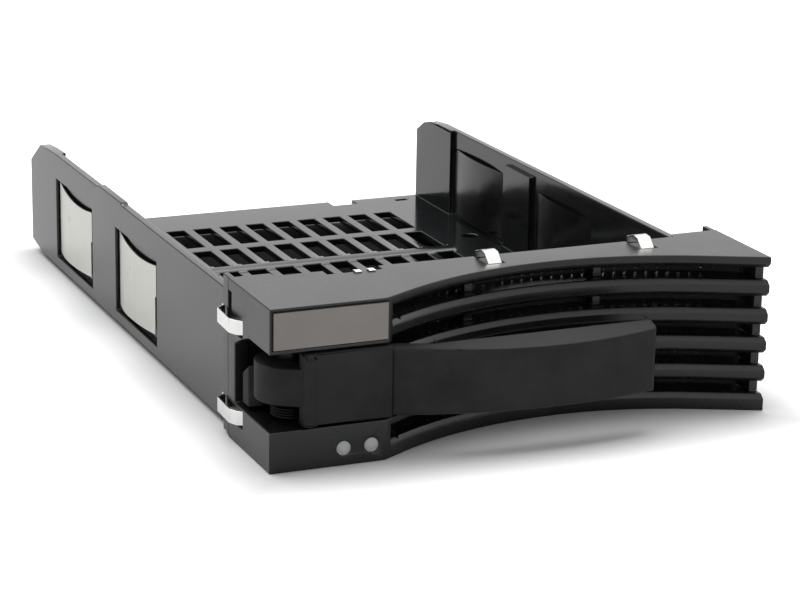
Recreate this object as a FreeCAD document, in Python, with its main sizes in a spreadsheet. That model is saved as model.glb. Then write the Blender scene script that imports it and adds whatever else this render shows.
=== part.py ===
"""Hot swap caddy for a 3.5 inch server drive: an open tray with a louvred front and a swing-out handle.

Local frame of every sketch: X to the right, Y from the front face of the bezel to the rear, Z up from the
bottom of the bezel. Each sub-part is then shifted along Y, so that the origin of the finished caddy is at
the middle of its footprint. All sizes are millimetres and live in the spreadsheet "Dims".
"""
import FreeCAD, Part
import math
import os

import Sketcher
from FreeCAD import Rotation, Vector

DIMENSIONS = [
    # bezel
    ("bezel_width", 111.0),
    ("bezel_height", 33.6),
    ("bezel_depth", 24.0),
    ("recess_centre", 11.5),
    ("recess_radius", 74.0),
    ("recess_depth", 13.1),
    ("recess_angle_left", 30.0),
    ("recess_angle_right", 24.0),
    ("bar_height", 3.61),
    ("bar_gap", 2.6),
    ("bar_depth", 7.0),
    ("bar_bevel", 1.0),
    ("bar_reach", 3.3),
    ("plate_bottom", 1.8),
    ("cheek_wall", 2.0),
    ("block_right", -29.5),
    ("block_wall", 2.5),
    ("front_wall", 3.0),
    ("rim_rear", 22.0),
    ("collar_front", 21.4),
    ("collar_wall", 1.4),
    ("flange_rear", 27.5),
    ("flange_wall", 1.2),
    # handle opening and hinge
    ("opening_bottom", 8.5),
    ("opening_top", 24.3),
    ("opening_rear", 20.0),
    ("opening_rear_top", 21.0),
    ("opening_slope_start", 12.0),
    ("side_wall", 3.0),
    ("hinge_x", -48.0),
    ("hinge_y", 9.0),
    ("pin_radius", 1.5),
    ("pin_bottom", 6.9),
    ("pin_top", 25.9),
    ("boss_radius", 2.6),
    ("running_gap", 0.05),
    ("spring_wire_radius", 0.3),
    ("knuckle_radius", 7.0),
    ("knuckle_bottom", 12.6),
    ("knuckle_top", 20.4),
    # handle
    ("lever_bottom", 9.2),
    ("lever_top", 22.7),
    ("lever_thick", 3.0),
    ("grip_start", -30.0),
    ("grip_end", 26.8),
    ("grip_bottom", 9.0),
    ("grip_top", 23.3),
    ("grip_front", 4.2),
    ("grip_radius", 100.0),
    ("grip_bevel", 0.7),
    ("rib_left", -48.3),
    ("rib_right", -46.0),
    # label and light pipes
    ("label_left", -55.0),
    ("label_right", -30.6),
    ("label_bottom", 25.0),
    ("label_top", 33.0),
    ("label_recess", 0.5),
    ("label_thick", 0.4),
    ("light_radius", 1.5),
    ("light_dome", 0.7),
    ("light_height", 3.6),
    ("light_left", -39.9),
    ("light_right", -34.0),
    ("pipe_radius", 0.8),
    ("pipe_left", -43.2),
    ("pipe_right", -39.6),
    ("pipe_height", 2.7),
    ("pipe_rear", 172.0),
    # tray
    ("tray_front", 21.5),
    ("tray_rear", 176.0),
    ("wall_outer", 54.0),
    ("wall_inner", 51.2),
    ("panel_inner", 52.2),
    ("wall_bottom", 1.2),
    ("wall_top", 30.6),
    ("lip_bottom", 26.0),
    ("floor_top", 5.2),
    ("floor_thick", 1.6),
    ("land_height", 0.5),
    ("land_front", 97.0),
    ("land_rear", 114.0),
    ("nose_front", 157.0),
    ("nose_middle", 168.0),
    ("nose_middle_top", 28.9),
    ("nose_rear_top", 23.4),
    ("slot_width", 4.6),
    ("slot_length", 16.8),
    ("slot_pitch_x", 7.05),
    ("slot_pitch_y", 20.5),
    ("slot_columns", 11),
    ("slot_rows", 6),
    ("slot_first_y", 42.0),
    ("ridge_front", 119.6),
    ("ridge_rear", 126.4),
    ("ridge_height", 0.8),
    ("window_bottom", 3.7),
    ("window_top", 23.3),
    ("window_length", 30.0),
    ("window_front", 75.0),
    ("window_step", 48.4),
    ("recess_skin", 0.6),
    ("drive_hole_x", 47.625),
    ("drive_hole_y", 88.3),
    ("drive_hole_step", 44.45),
    ("drive_hole_radius", 1.9),
    ("screw_x", 28.0),
    ("screw_y", 24.3),
    ("tongue_thick", 1.1),
    ("tongue_rear", 28.0),
    # springs and clips
    ("clip_width", 3.0),
    ("clip_thick", 0.3),
    ("top_clip_middle", -0.6),
    ("top_clip_right", 34.6),
    ("side_clip_upper", 25.0),
    ("side_clip_lower", 6.1),
    ("plate_thick", 0.5),
    ("plate_bow_radius", 200.0),
]

doc = FreeCAD.newDocument("Caddy")
sheet = doc.addObject("Spreadsheet::Sheet", "Dims")
for row, (alias, size) in enumerate(DIMENSIONS, start=1):
    sheet.set(f"A{row}", alias)
    sheet.set(f"B{row}", str(size))
    sheet.setAlias(f"B{row}", alias)
doc.recompute()

# The depth of the finished caddy runs from the bow of the handle to the rear of the tray.
GRIP_CHORD = "sqrt((Dims.grip_end - Dims.grip_start)^2 + Dims.grip_front^2)"
GRIP_SINK = "sqrt(Dims.grip_radius^2 - ((Dims.grip_end - Dims.grip_start)^2 + Dims.grip_front^2)/4)"
GRIP_CENTRE_Y = f"(-Dims.grip_front/2 + {GRIP_SINK}*(Dims.grip_end - Dims.grip_start)/{GRIP_CHORD})"
SHIFT_Y = f"-(Dims.tray_rear + {GRIP_CENTRE_Y} - Dims.grip_radius)/2"
parts = []


def value(expression):
    """The number that an expression over the sheet stands for."""
    return float(sheet.evalExpression(str(expression)))


def bind(owner, path, expression):
    """Bind one property of an object to an expression over the sheet."""
    owner.setExpression(path, str(expression))


def new_body(label):
    """A PartDesign body in the caddy's frame, listed for export."""
    body = doc.addObject("PartDesign::Body", label)
    body.Label = label
    bind(body, "Placement.Base.y", SHIFT_Y)
    parts.append(body)
    return body


def new_feature(label, shape):
    """A plain solid for a form that neither sketches nor primitives fit."""
    feature = doc.addObject("Part::Feature", label)
    feature.Label = label
    feature.Shape = shape
    feature.Placement = FreeCAD.Placement(Vector(0, value(SHIFT_Y), 0), Rotation())
    parts.append(feature)
    return feature


def new_sketch(body, name, role, offset="0"):
    """A sketch on one of the body's own origin planes, moved along the plane's normal."""
    sketch = body.newObject("Sketcher::SketchObject", name)
    plane = next(item for item in body.Origin.OriginFeatures if item.Role == role)
    sketch.AttachmentSupport = [(plane, "")]
    sketch.MapMode = "FlatFace"
    bind(sketch, "AttachmentOffset.Base.z", offset)
    return sketch


def minor_arc(start, end, radius, side):
    """The short arc between two points, run anticlockwise; side +1 bulges left of start to end, -1 right."""
    chord = end - start
    half = chord.Length / 2
    normal = Vector(-chord.y, chord.x, 0).normalize()
    centre = (start + end) / 2 - normal * (math.sqrt(radius * radius - half * half) * side)
    first, last = (end, start) if side > 0 else (start, end)
    angles = [math.atan2(point.y - centre.y, point.x - centre.x) for point in (first, last)]
    if angles[1] < angles[0]:
        angles[1] += 2 * math.pi
    return Part.ArcOfCircle(Part.Circle(centre, Vector(0, 0, 1), radius), angles[0], angles[1])


def outline(sketch, corners):
    """A closed outline whose corners are pairs of expressions.

    A corner may carry a third item (radius, side): then an arc of that radius leads to the next corner.
    """
    places = [Vector(value(corner[0]), value(corner[1]), 0) for corner in corners]
    count = len(corners)
    ends = []
    for index, corner in enumerate(corners):
        start = places[index]
        end = places[(index + 1) % count]
        if len(corner) > 2:
            radius, side = corner[2]
            number = sketch.addGeometry(minor_arc(start, end, value(radius), side))
            ends.append((number, 2, 1) if side > 0 else (number, 1, 2))
            limit = sketch.addConstraint(Sketcher.Constraint("Radius", number, value(radius)))
            bind(sketch, f"Constraints[{limit}]", radius)
        else:
            number = sketch.addGeometry(Part.LineSegment(start, end))
            ends.append((number, 1, 2))
    for index in range(count):
        this, following = ends[index], ends[(index + 1) % count]
        sketch.addConstraint(Sketcher.Constraint("Coincident", this[0], this[2], following[0], following[1]))
    for index, corner in enumerate(corners):
        number, first, _ = ends[index]
        for kind, expression in (("DistanceX", corner[0]), ("DistanceY", corner[1])):
            size = value(expression)
            limit = sketch.addConstraint(Sketcher.Constraint(kind, -1, 1, number, first, size))
            bind(sketch, f"Constraints[{limit}]", expression)
    return sketch


def rectangle(sketch, left, right, bottom, top):
    """A closed rectangle given by four expressions."""
    return outline(sketch, [(left, bottom), (right, bottom), (right, top), (left, top)])


def circle(sketch, across, up, radius):
    """A full circle given by the expressions of its centre and radius."""
    centre = Vector(value(across), value(up), 0)
    number = sketch.addGeometry(Part.Circle(centre, Vector(0, 0, 1), value(radius)))
    for kind, expression in (("DistanceX", across), ("DistanceY", up)):
        limit = sketch.addConstraint(Sketcher.Constraint(kind, -1, 1, number, 3, value(expression)))
        bind(sketch, f"Constraints[{limit}]", expression)
    limit = sketch.addConstraint(Sketcher.Constraint("Radius", number, value(radius)))
    bind(sketch, f"Constraints[{limit}]", radius)
    return sketch


def pad(body, sketch, length, backwards=False):
    """Raise a sketch along its normal, or against it."""
    feature = body.newObject("PartDesign::Pad", f"{sketch.Name}_pad")
    feature.Profile = sketch
    feature.Reversed = backwards
    feature.Length = value(length)
    bind(feature, "Length", length)
    doc.recompute()
    return feature


def pocket(body, sketch, length, forwards=False):
    """Sink a sketch against its normal, or along it, and prove that it removes material."""
    before = body.Shape.Volume
    feature = body.newObject("PartDesign::Pocket", f"{sketch.Name}_pocket")
    feature.Profile = sketch
    feature.Reversed = forwards
    feature.Length = value(length)
    bind(feature, "Length", length)
    doc.recompute()
    if body.Shape.Volume >= before - 1e-6:
        raise RuntimeError(f"{feature.Name} removes nothing")
    return feature


def mirror(body, originals, name):
    """Repeat features on the other side of the caddy's middle plane."""
    feature = body.newObject("PartDesign::Mirrored", name)
    feature.Originals = originals
    plane = next(item for item in body.Origin.OriginFeatures if item.Role == "YZ_Plane")
    feature.MirrorPlane = (plane, [""])
    body.Tip = feature
    doc.recompute()
    return feature


def line_pattern(body, original, direction, span, occurrences, name):
    """Repeat a feature at even steps over a span."""
    feature = body.newObject("PartDesign::LinearPattern", name)
    feature.Originals = [original]
    feature.Direction = direction
    feature.Length = value(span)
    feature.Occurrences = int(value(occurrences))
    bind(feature, "Length", span)
    bind(feature, "Occurrences", occurrences)
    body.Tip = feature
    doc.recompute()
    return feature


def grid_pattern(body, original, sketch, spans, counts, name):
    """Repeat a feature over a grid along the sketch's two axes."""
    feature = body.newObject("PartDesign::MultiTransform", name)
    feature.Originals = [original]
    steps = []
    for axis, span, count in zip(("H_Axis", "V_Axis"), spans, counts):
        step = body.newObject("PartDesign::LinearPattern", f"{name}_{axis}")
        step.Direction = (sketch, [axis])
        step.Length = value(span)
        step.Occurrences = int(value(count))
        bind(step, "Length", span)
        bind(step, "Occurrences", count)
        steps.append(step)
    feature.Transformations = steps
    body.Tip = feature
    doc.recompute()
    return feature


def chamfer(body, name, size, wanted):
    """Chamfer the edges of the body's tip that the test accepts."""
    tip = body.Tip
    names = [f"Edge{n}" for n, edge in enumerate(tip.Shape.Edges, start=1) if wanted(edge)]
    if not names:
        raise RuntimeError(f"{name} finds no edge")
    feature = body.newObject("PartDesign::Chamfer", name)
    feature.Base = (tip, names)
    feature.Size = value(size)
    bind(feature, "Size", size)
    doc.recompute()
    return feature


def folded_strip(body, name, role, path, width, thick, centre):
    """A strip of sheet bent along a path in one origin plane, with its section swept round the bends.

    path holds pairs of expressions in that plane; centre is the strip's middle across the plane.
    """
    spine = new_sketch(body, f"{name}_path", role, centre)
    places = [Vector(value(u), value(v), 0) for u, v in path]
    for start, end in zip(places, places[1:]):
        spine.addGeometry(Part.LineSegment(start, end))
    for index in range(len(places) - 2):
        spine.addConstraint(Sketcher.Constraint("Coincident", index, 2, index + 1, 1))
    spots = [(index, 1) for index in range(len(places) - 1)] + [(len(places) - 2, 2)]
    for (number, end), (u, v) in zip(spots, path):
        for kind, expression in (("DistanceX", u), ("DistanceY", v)):
            limit = spine.addConstraint(Sketcher.Constraint(kind, -1, 1, number, end, value(expression)))
            bind(spine, f"Constraints[{limit}]", expression)
    doc.recompute()
    u, v = path[0]
    if role == "YZ_Plane":
        section = new_sketch(body, f"{name}_section", "XZ_Plane", f"-({u})")
        rectangle(section, f"{centre} - {width}/2", f"{centre} + {width}/2", f"{v} - {thick}/2", f"{v} + {thick}/2")
    else:
        section = new_sketch(body, f"{name}_section", "XZ_Plane", f"-({v})")
        rectangle(section, f"{u} - {thick}/2", f"{u} + {thick}/2", f"{centre} - {width}/2", f"{centre} + {width}/2")
    doc.recompute()
    feature = body.newObject("PartDesign::AdditivePipe", name)
    feature.Profile = section
    feature.Spine = (spine, [])
    feature.Transition = "Right corner"
    doc.recompute()
    return feature


# The concave front of the bezel: a shallow arc with a straight run at either end.
ARC_Y = "(Dims.recess_depth - Dims.recess_radius)"
ARC_LEFT_X = "(Dims.recess_centre - Dims.recess_radius*sin(Dims.recess_angle_left))"
ARC_LEFT_Y = f"({ARC_Y} + Dims.recess_radius*cos(Dims.recess_angle_left))"
ARC_RIGHT_X = "(Dims.recess_centre + Dims.recess_radius*sin(Dims.recess_angle_right))"
ARC_RIGHT_Y = f"({ARC_Y} + Dims.recess_radius*cos(Dims.recess_angle_right))"
CURVE_START_X = f"({ARC_LEFT_X} - {ARC_LEFT_Y}/tan(Dims.recess_angle_left))"
CURVE_END_Y = f"({ARC_RIGHT_Y} - (Dims.bezel_width/2 - {ARC_RIGHT_X})*tan(Dims.recess_angle_right))"
CAVITY_RIGHT = "(Dims.bezel_width/2 - Dims.cheek_wall)"
CAVITY_LEFT = "(Dims.block_right + Dims.block_wall)"
CAVITY_TOP = "(Dims.bezel_height - 2.55)"
BAR_PITCH = "(Dims.bar_height + Dims.bar_gap)"
SCREWS = (("left", "-Dims.screw_x"), ("right", "Dims.screw_x"))


def behind_arc(across, offset):
    """Expression for Y on the arc that lies the given distance behind the concave front."""
    radius = f"(Dims.recess_radius + {offset})"
    return f"({ARC_Y} + sqrt({radius}*{radius} - ({across} - Dims.recess_centre)^2))"


def build_tray():
    """The moulded tray: floor with vent slots, two side walls with blind windows, drive pads and bosses."""
    body = new_body("tray")
    rise = "Dims.wall_top + Dims.land_height"
    under = "Dims.floor_top - Dims.floor_thick"
    section = new_sketch(body, "tray_section", "XZ_Plane", "-Dims.tray_front")
    left = [
        ("-Dims.wall_inner", under),
        ("-Dims.wall_inner", "Dims.wall_bottom"),
        ("-Dims.wall_outer", "Dims.wall_bottom"),
        ("-Dims.wall_outer", rise),
        ("-Dims.wall_inner", rise),
        ("-Dims.wall_inner", "Dims.lip_bottom + 1"),
        ("-Dims.panel_inner", "Dims.lip_bottom"),
        ("-Dims.panel_inner", "Dims.floor_top"),
    ]
    right = [(across[1:], up) for across, up in reversed(left)]
    outline(section, left + right)
    pad(body, section, "Dims.tray_rear - Dims.tray_front", backwards=True)

    # thick pads that guide the drive, on the inner faces of both walls
    pads = []
    for name, front, rear in (
        ("pad_rear", "Dims.window_front + Dims.window_step + Dims.window_length + 0.5", "Dims.tray_rear"),
        ("pad_middle", "107", "121"),
        ("pad_front", "Dims.tray_front", "Dims.tray_front + 12"),
    ):
        sketch = new_sketch(body, name, "YZ_Plane", "-Dims.wall_inner")
        rectangle(sketch, front, rear, "Dims.floor_top - 0.5", "Dims.lip_bottom + 0.9")
        pads.append(pad(body, sketch, "Dims.panel_inner - Dims.wall_inner", backwards=True))
    mirror(body, pads, "pads_right")

    # a low rib across the floor
    rib = new_sketch(body, "floor_rib", "YZ_Plane", "-39")
    bottom = "Dims.floor_top - 0.1"
    crest = f"{bottom} + Dims.ridge_height"
    outline(
        rib,
        [
            ("Dims.ridge_front", bottom),
            ("Dims.ridge_front + 1.7", crest),
            ("Dims.ridge_rear - 1.7", crest),
            ("Dims.ridge_rear", bottom),
        ],
    )
    pad(body, rib, "78")

    # side profile of both walls: raised land between the windows and a two-step lead-in at the rear
    trim = new_sketch(body, "wall_profile", "YZ_Plane", "-Dims.wall_outer - 1")
    beyond = "Dims.tray_rear + 2"
    drop = "(Dims.nose_middle_top - Dims.nose_rear_top)/(Dims.tray_rear - Dims.nose_middle)"
    outline(
        trim,
        [
            ("Dims.tray_front - 1", "Dims.wall_top"),
            ("Dims.land_front - 1", "Dims.wall_top"),
            ("Dims.land_front", rise),
            ("Dims.land_rear", rise),
            ("Dims.land_rear + 1", "Dims.wall_top"),
            ("Dims.nose_front", "Dims.wall_top"),
            ("Dims.nose_middle", "Dims.nose_middle_top"),
            (beyond, f"Dims.nose_rear_top - 2*{drop}"),
            (beyond, "Dims.wall_top + 2"),
            ("Dims.tray_front - 1", "Dims.wall_top + 2"),
        ],
    )
    pocket(body, trim, "2*Dims.wall_outer + 2", forwards=True)
    lead = new_sketch(body, "lead_in", "YZ_Plane", "-Dims.wall_outer - 1")
    outline(
        lead,
        [
            ("Dims.tray_rear - 9", "Dims.wall_bottom"),
            (beyond, "Dims.wall_bottom - 1"),
            (beyond, "Dims.wall_bottom + 1.8"),
        ],
    )
    pocket(body, lead, "2*Dims.wall_outer + 2", forwards=True)

    # blind windows for the side springs; a thin skin closes them on the inside
    cuts = []
    for number in range(2):
        front = f"Dims.window_front + {number}*Dims.window_step"
        window = new_sketch(body, f"window_{number + 1}", "YZ_Plane", "-Dims.wall_outer")
        rectangle(window, front, f"{front} + Dims.window_length", "Dims.window_bottom", "Dims.window_top")
        depth = "Dims.wall_outer - Dims.panel_inner - Dims.recess_skin"
        cuts.append(pocket(body, window, depth, forwards=True))
    mirror(body, cuts, "windows_right")

    # vent slots
    slot = new_sketch(body, "vent_slot", "XY_Plane", "Dims.floor_top + 1")
    first = "-(Dims.slot_columns - 1)/2*Dims.slot_pitch_x"
    rectangle(
        slot,
        f"{first} - Dims.slot_width/2",
        f"{first} + Dims.slot_width/2",
        "Dims.slot_first_y",
        "Dims.slot_first_y + Dims.slot_length",
    )
    vent = pocket(body, slot, "Dims.floor_thick + 2")
    grid_pattern(
        body,
        vent,
        slot,
        ("(Dims.slot_columns - 1)*Dims.slot_pitch_x", "(Dims.slot_rows - 1)*Dims.slot_pitch_y"),
        ("Dims.slot_columns", "Dims.slot_rows"),
        "vent_slots",
    )

    # key notch and slit at the rear edge of the floor
    notch = new_sketch(body, "rear_notch", "XY_Plane", "Dims.floor_top + 1")
    rectangle(notch, "26.2", "32.8", "Dims.tray_rear - 4", "Dims.tray_rear + 1")
    pocket(body, notch, "Dims.floor_thick + 2")
    slit = new_sketch(body, "rear_slit", "XY_Plane", "Dims.floor_top + 1")
    rectangle(slit, "43.8", "47", "Dims.tray_rear - 4.8", "Dims.tray_rear - 3.4")
    pocket(body, slit, "Dims.floor_thick + 2")

    # four holes for screws into the bottom of the drive
    holes = new_sketch(body, "drive_holes", "XY_Plane", "Dims.floor_top + 1")
    for side in ("-Dims.drive_hole_x", "Dims.drive_hole_x"):
        for along in ("Dims.drive_hole_y", "Dims.drive_hole_y + Dims.drive_hole_step"):
            circle(holes, side, along, "Dims.drive_hole_radius")
    pocket(body, holes, "Dims.floor_thick + 2")

    # ribs under the floor that hold the two light pipes
    for number, across in enumerate(("-45", "-41.4", "-38.1"), start=1):
        guide = new_sketch(body, f"pipe_rib_{number}", "XY_Plane", "Dims.floor_top - Dims.floor_thick + 0.1")
        rectangle(guide, f"{across} - 0.35", f"{across} + 0.35", "Dims.tray_front + 8", "Dims.pipe_rear")
        pad(body, guide, "2.2", backwards=True)

    # screw bosses at the front edge
    bosses = []
    holes = []
    for name, across in SCREWS:
        boss = new_sketch(body, f"boss_{name}", "XY_Plane", "Dims.wall_bottom")
        circle(boss, across, "Dims.screw_y", "2.3")
        bosses.append(pad(body, boss, "7.8"))
    for name, across in SCREWS:
        hole = new_sketch(body, f"screw_hole_{name}", "XY_Plane", "Dims.wall_bottom - 0.1")
        circle(hole, across, "Dims.screw_y", "1.15")
        holes.append(pocket(body, hole, "6.6", forwards=True))


def build_bezel():
    """The moulded bezel: concave louvred front, block for the handle and label, collar over the tray."""
    body = new_body("bezel")
    half = "Dims.bezel_width/2"
    plan = new_sketch(body, "bezel_plan", "XY_Plane")
    outline(
        plan,
        [
            (f"-{half}", "0"),
            (CURVE_START_X, "0"),
            (ARC_LEFT_X, ARC_LEFT_Y, ("Dims.recess_radius", 1)),
            (ARC_RIGHT_X, ARC_RIGHT_Y),
            (half, CURVE_END_Y),
            (half, "Dims.bezel_depth"),
            (f"-{half}", "Dims.bezel_depth"),
        ],
    )
    pad(body, plan, "Dims.bezel_height")

    # hollow behind the bars
    cavity = new_sketch(body, "cavity", "XY_Plane", "Dims.plate_bottom")
    radius = "(Dims.recess_radius + Dims.bar_depth)"
    outline(
        cavity,
        [
            (CAVITY_LEFT, behind_arc(CAVITY_LEFT, "Dims.bar_depth"), (radius, 1)),
            (CAVITY_RIGHT, behind_arc(CAVITY_RIGHT, "Dims.bar_depth")),
            (CAVITY_RIGHT, "Dims.bezel_depth + 1"),
            (CAVITY_LEFT, "Dims.bezel_depth + 1"),
        ],
    )
    pocket(body, cavity, f"{CAVITY_TOP} - Dims.plate_bottom", forwards=True)

    # five gaps between the six bars; their right ends stand free of the cheek
    gap = new_sketch(body, "gap", "XY_Plane", "Dims.bar_height")
    outline(
        gap,
        [
            ("Dims.block_right", "-6"),
            (f"{half} + 1", "-6"),
            (f"{half} + 1", "Dims.bar_reach"),
            (CAVITY_RIGHT, "Dims.bar_reach"),
            (CAVITY_RIGHT, "Dims.rim_rear - 1.4"),
            (CAVITY_LEFT, "Dims.rim_rear - 1.4"),
            (CAVITY_LEFT, "7"),
            ("Dims.block_right", "7"),
        ],
    )
    first = pocket(body, gap, "Dims.bar_gap", forwards=True)
    line_pattern(body, first, (gap, ["N_Axis"]), f"4*{BAR_PITCH}", "5", "gaps")

    # bevel the front of the bars
    levels = []
    for number in range(5):
        levels.append(value(f"Dims.bar_height + {number}*{BAR_PITCH}"))
        levels.append(value(f"Dims.bar_height + {number}*{BAR_PITCH} + Dims.bar_gap"))
    nose = value("Dims.recess_radius")
    centre = Vector(value("Dims.recess_centre"), value(ARC_Y), 0)

    def on_front(edge):
        """Whether an edge is a level edge of a bar that lies on the concave front."""
        box = edge.BoundBox
        if box.ZLength > 1e-6 or min(abs(box.ZMin - level) for level in levels) > 1e-6:
            return False
        middle = edge.valueAt((edge.FirstParameter + edge.LastParameter) / 2)
        reach = math.hypot(middle.x - centre.x, middle.y - centre.y)
        if abs(reach - nose) < 1e-3:
            return True
        straight = middle.x > value(ARC_RIGHT_X) and middle.x < value(half) - 0.01
        slope = math.tan(math.radians(value("Dims.recess_angle_right")))
        return straight and abs(value(ARC_RIGHT_Y) - (middle.x - value(ARC_RIGHT_X)) * slope - middle.y) < 1e-3

    chamfer(body, "bar_noses", "Dims.bar_bevel", on_front)

    # two upright ribs that tie the bars together behind their noses
    for name, across, start in (("tie_left", "-7", "14.6"), ("tie_right", "23", "16")):
        tie = new_sketch(body, name, "XY_Plane", "1")
        rectangle(tie, f"{across} - 1", f"{across} + 1", start, f"{start} + 3")
        pad(body, tie, "31")

    # hollows of the block: above and below the handle opening
    for name, bottom, top in (
        ("block_low", "Dims.plate_bottom", "Dims.opening_bottom - 1.7"),
        ("block_high", "Dims.opening_top + 1.7", CAVITY_TOP),
    ):
        hollow = new_sketch(body, name, "XZ_Plane", "-Dims.bezel_depth - 1")
        rectangle(hollow, f"-{half} + 2.5", CAVITY_LEFT, bottom, top)
        pocket(body, hollow, "Dims.bezel_depth + 1 - Dims.front_wall", forwards=True)

    # handle opening in the front, deep enough for the knuckle and the hook to turn in
    opening = new_sketch(body, "opening", "XY_Plane", "Dims.opening_bottom")
    outline(
        opening,
        [
            (f"-{half} + Dims.side_wall", "-2"),
            ("Dims.block_right + 3.2", "-2"),
            ("Dims.block_right + 3.2", "3.4"),
            ("Dims.block_right", "4.8"),
            ("Dims.block_right", "Dims.collar_front + 1"),
            (f"-{half} + Dims.side_wall", "Dims.collar_front + 1"),
        ],
    )
    pocket(body, opening, "Dims.opening_top - Dims.opening_bottom", forwards=True)
    window = new_sketch(body, "side_opening", "YZ_Plane", f"-{half} - 1")
    outline(
        window,
        [
            ("-1", "Dims.opening_bottom"),
            ("Dims.opening_rear", "Dims.opening_bottom"),
            ("Dims.opening_rear", "Dims.opening_rear_top"),
            ("Dims.opening_slope_start", "Dims.opening_top"),
            ("-1", "Dims.opening_top"),
        ],
    )
    pocket(body, window, "Dims.side_wall + 1.2", forwards=True)

    # bosses and bore for the hinge pin
    for name, bottom, top in (
        ("boss_low", "Dims.opening_bottom - 0.2", "Dims.knuckle_bottom - 0.3"),
        ("boss_high", "Dims.knuckle_top + 0.3", "Dims.opening_top + 0.2"),
    ):
        boss = new_sketch(body, name, "XY_Plane", bottom)
        circle(boss, "Dims.hinge_x", "Dims.hinge_y", "Dims.boss_radius")
        pad(body, boss, f"{top} - ({bottom})")
    bore = new_sketch(body, "pin_bore", "XY_Plane", "Dims.opening_bottom - 1.8")
    circle(bore, "Dims.hinge_x", "Dims.hinge_y", "Dims.pin_radius + 0.02")
    pocket(body, bore, "Dims.opening_top - Dims.opening_bottom + 3.6", forwards=True)

    # collar that laps over the front of the tray
    collar = new_sketch(body, "collar", "XZ_Plane", "-Dims.bezel_depth - 1")
    rectangle(
        collar,
        f"-{half} + Dims.collar_wall",
        f"{half} - Dims.collar_wall",
        "Dims.tongue_thick",
        "Dims.wall_top + 0.3",
    )
    pocket(body, collar, "Dims.bezel_depth + 1 - Dims.collar_front", forwards=True)

    # rear edge of the top rim, with the notch for the contact tab
    rim = new_sketch(body, "rim_edge", "XY_Plane", f"{CAVITY_TOP} - 0.5")
    outline(
        rim,
        [
            ("-47", "Dims.bezel_depth + 1"),
            ("-46", "Dims.rim_rear"),
            ("-36", "Dims.rim_rear"),
            ("-36", "Dims.rim_rear - 2.6"),
            ("-24", "Dims.rim_rear - 2.6"),
            ("-24", "Dims.rim_rear"),
            ("44", "Dims.rim_rear"),
            ("45", "Dims.bezel_depth + 1"),
        ],
    )
    pocket(body, rim, "4", forwards=True)

    # flanges that reach back along the outside of the tray's walls, with a seam slot above the upper clips
    for name, left, right in (
        ("flange_left", f"-{half} + 0.2", f"-{half} + 0.2 + Dims.flange_wall"),
        ("flange_right", f"{half} - 0.2 - Dims.flange_wall", f"{half} - 0.2"),
    ):
        flange = new_sketch(body, name, "XY_Plane", "0.6")
        rectangle(flange, left, right, "Dims.bezel_depth - 1", "Dims.flange_rear")
        pad(body, flange, "Dims.bezel_height - 0.6")
    seam = new_sketch(body, "seam_slot", "YZ_Plane", f"-{half} - 1")
    rectangle(seam, "22", "Dims.bezel_depth - 0.2", "Dims.side_clip_upper + 1.9", "31")
    cut = pocket(body, seam, "2.2", forwards=True)
    mirror(body, [cut], "seam_slot_right")

    # tongue under the tray, with countersunk screw holes
    tongue = new_sketch(body, "tongue", "XY_Plane")
    rectangle(tongue, "-34", "34", "Dims.bezel_depth - 1", "Dims.tongue_rear")
    pad(body, tongue, "Dims.tongue_thick")
    for name, across in SCREWS:
        hole = new_sketch(body, f"countersink_{name}", "XY_Plane")
        circle(hole, across, "Dims.screw_y", "2.3")
        pocket(body, hole, "0.7", forwards=True)
        shank = new_sketch(body, f"shank_hole_{name}", "XY_Plane")
        circle(shank, across, "Dims.screw_y", "1.3")
        pocket(body, shank, "1.5", forwards=True)

    # label recess and light holes in the front of the block
    recess = new_sketch(body, "label_recess", "XZ_Plane")
    rectangle(recess, "Dims.label_left", "Dims.label_right", "Dims.label_bottom", "Dims.label_top")
    pocket(body, recess, "Dims.label_recess")
    lights = new_sketch(body, "light_holes", "XZ_Plane")
    for across in ("Dims.light_left", "Dims.light_right"):
        circle(lights, across, "Dims.light_height", "Dims.light_radius + 0.05")
    pocket(body, lights, "Dims.front_wall + 1")

    # seats of the clips: two in the top rim, two in each side
    for name, centre in (("seat_middle", "Dims.top_clip_middle"), ("seat_right", "Dims.top_clip_right")):
        seat = new_sketch(body, name, "XY_Plane", "Dims.bezel_height - 0.5")
        reach = "(Dims.clip_width/2 + 0.5)"
        rectangle(seat, f"{centre} - {reach}", f"{centre} + {reach}", "Dims.rim_rear - 6.8", "Dims.rim_rear + 1")
        pocket(body, seat, "1", forwards=True)
    cuts = []
    for name, centre in (("seat_upper", "Dims.side_clip_upper"), ("seat_lower", "Dims.side_clip_lower")):
        seat = new_sketch(body, name, "YZ_Plane", f"-{half}")
        reach = "(Dims.clip_width/2 + 0.4)"
        rectangle(
            seat, "Dims.flange_rear - 12", "Dims.flange_rear + 1", f"{centre} - {reach}", f"{centre} + {reach}"
        )
        cuts.append(pocket(body, seat, "1.35", forwards=True))
    mirror(body, cuts, "side_seats_right")


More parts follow.
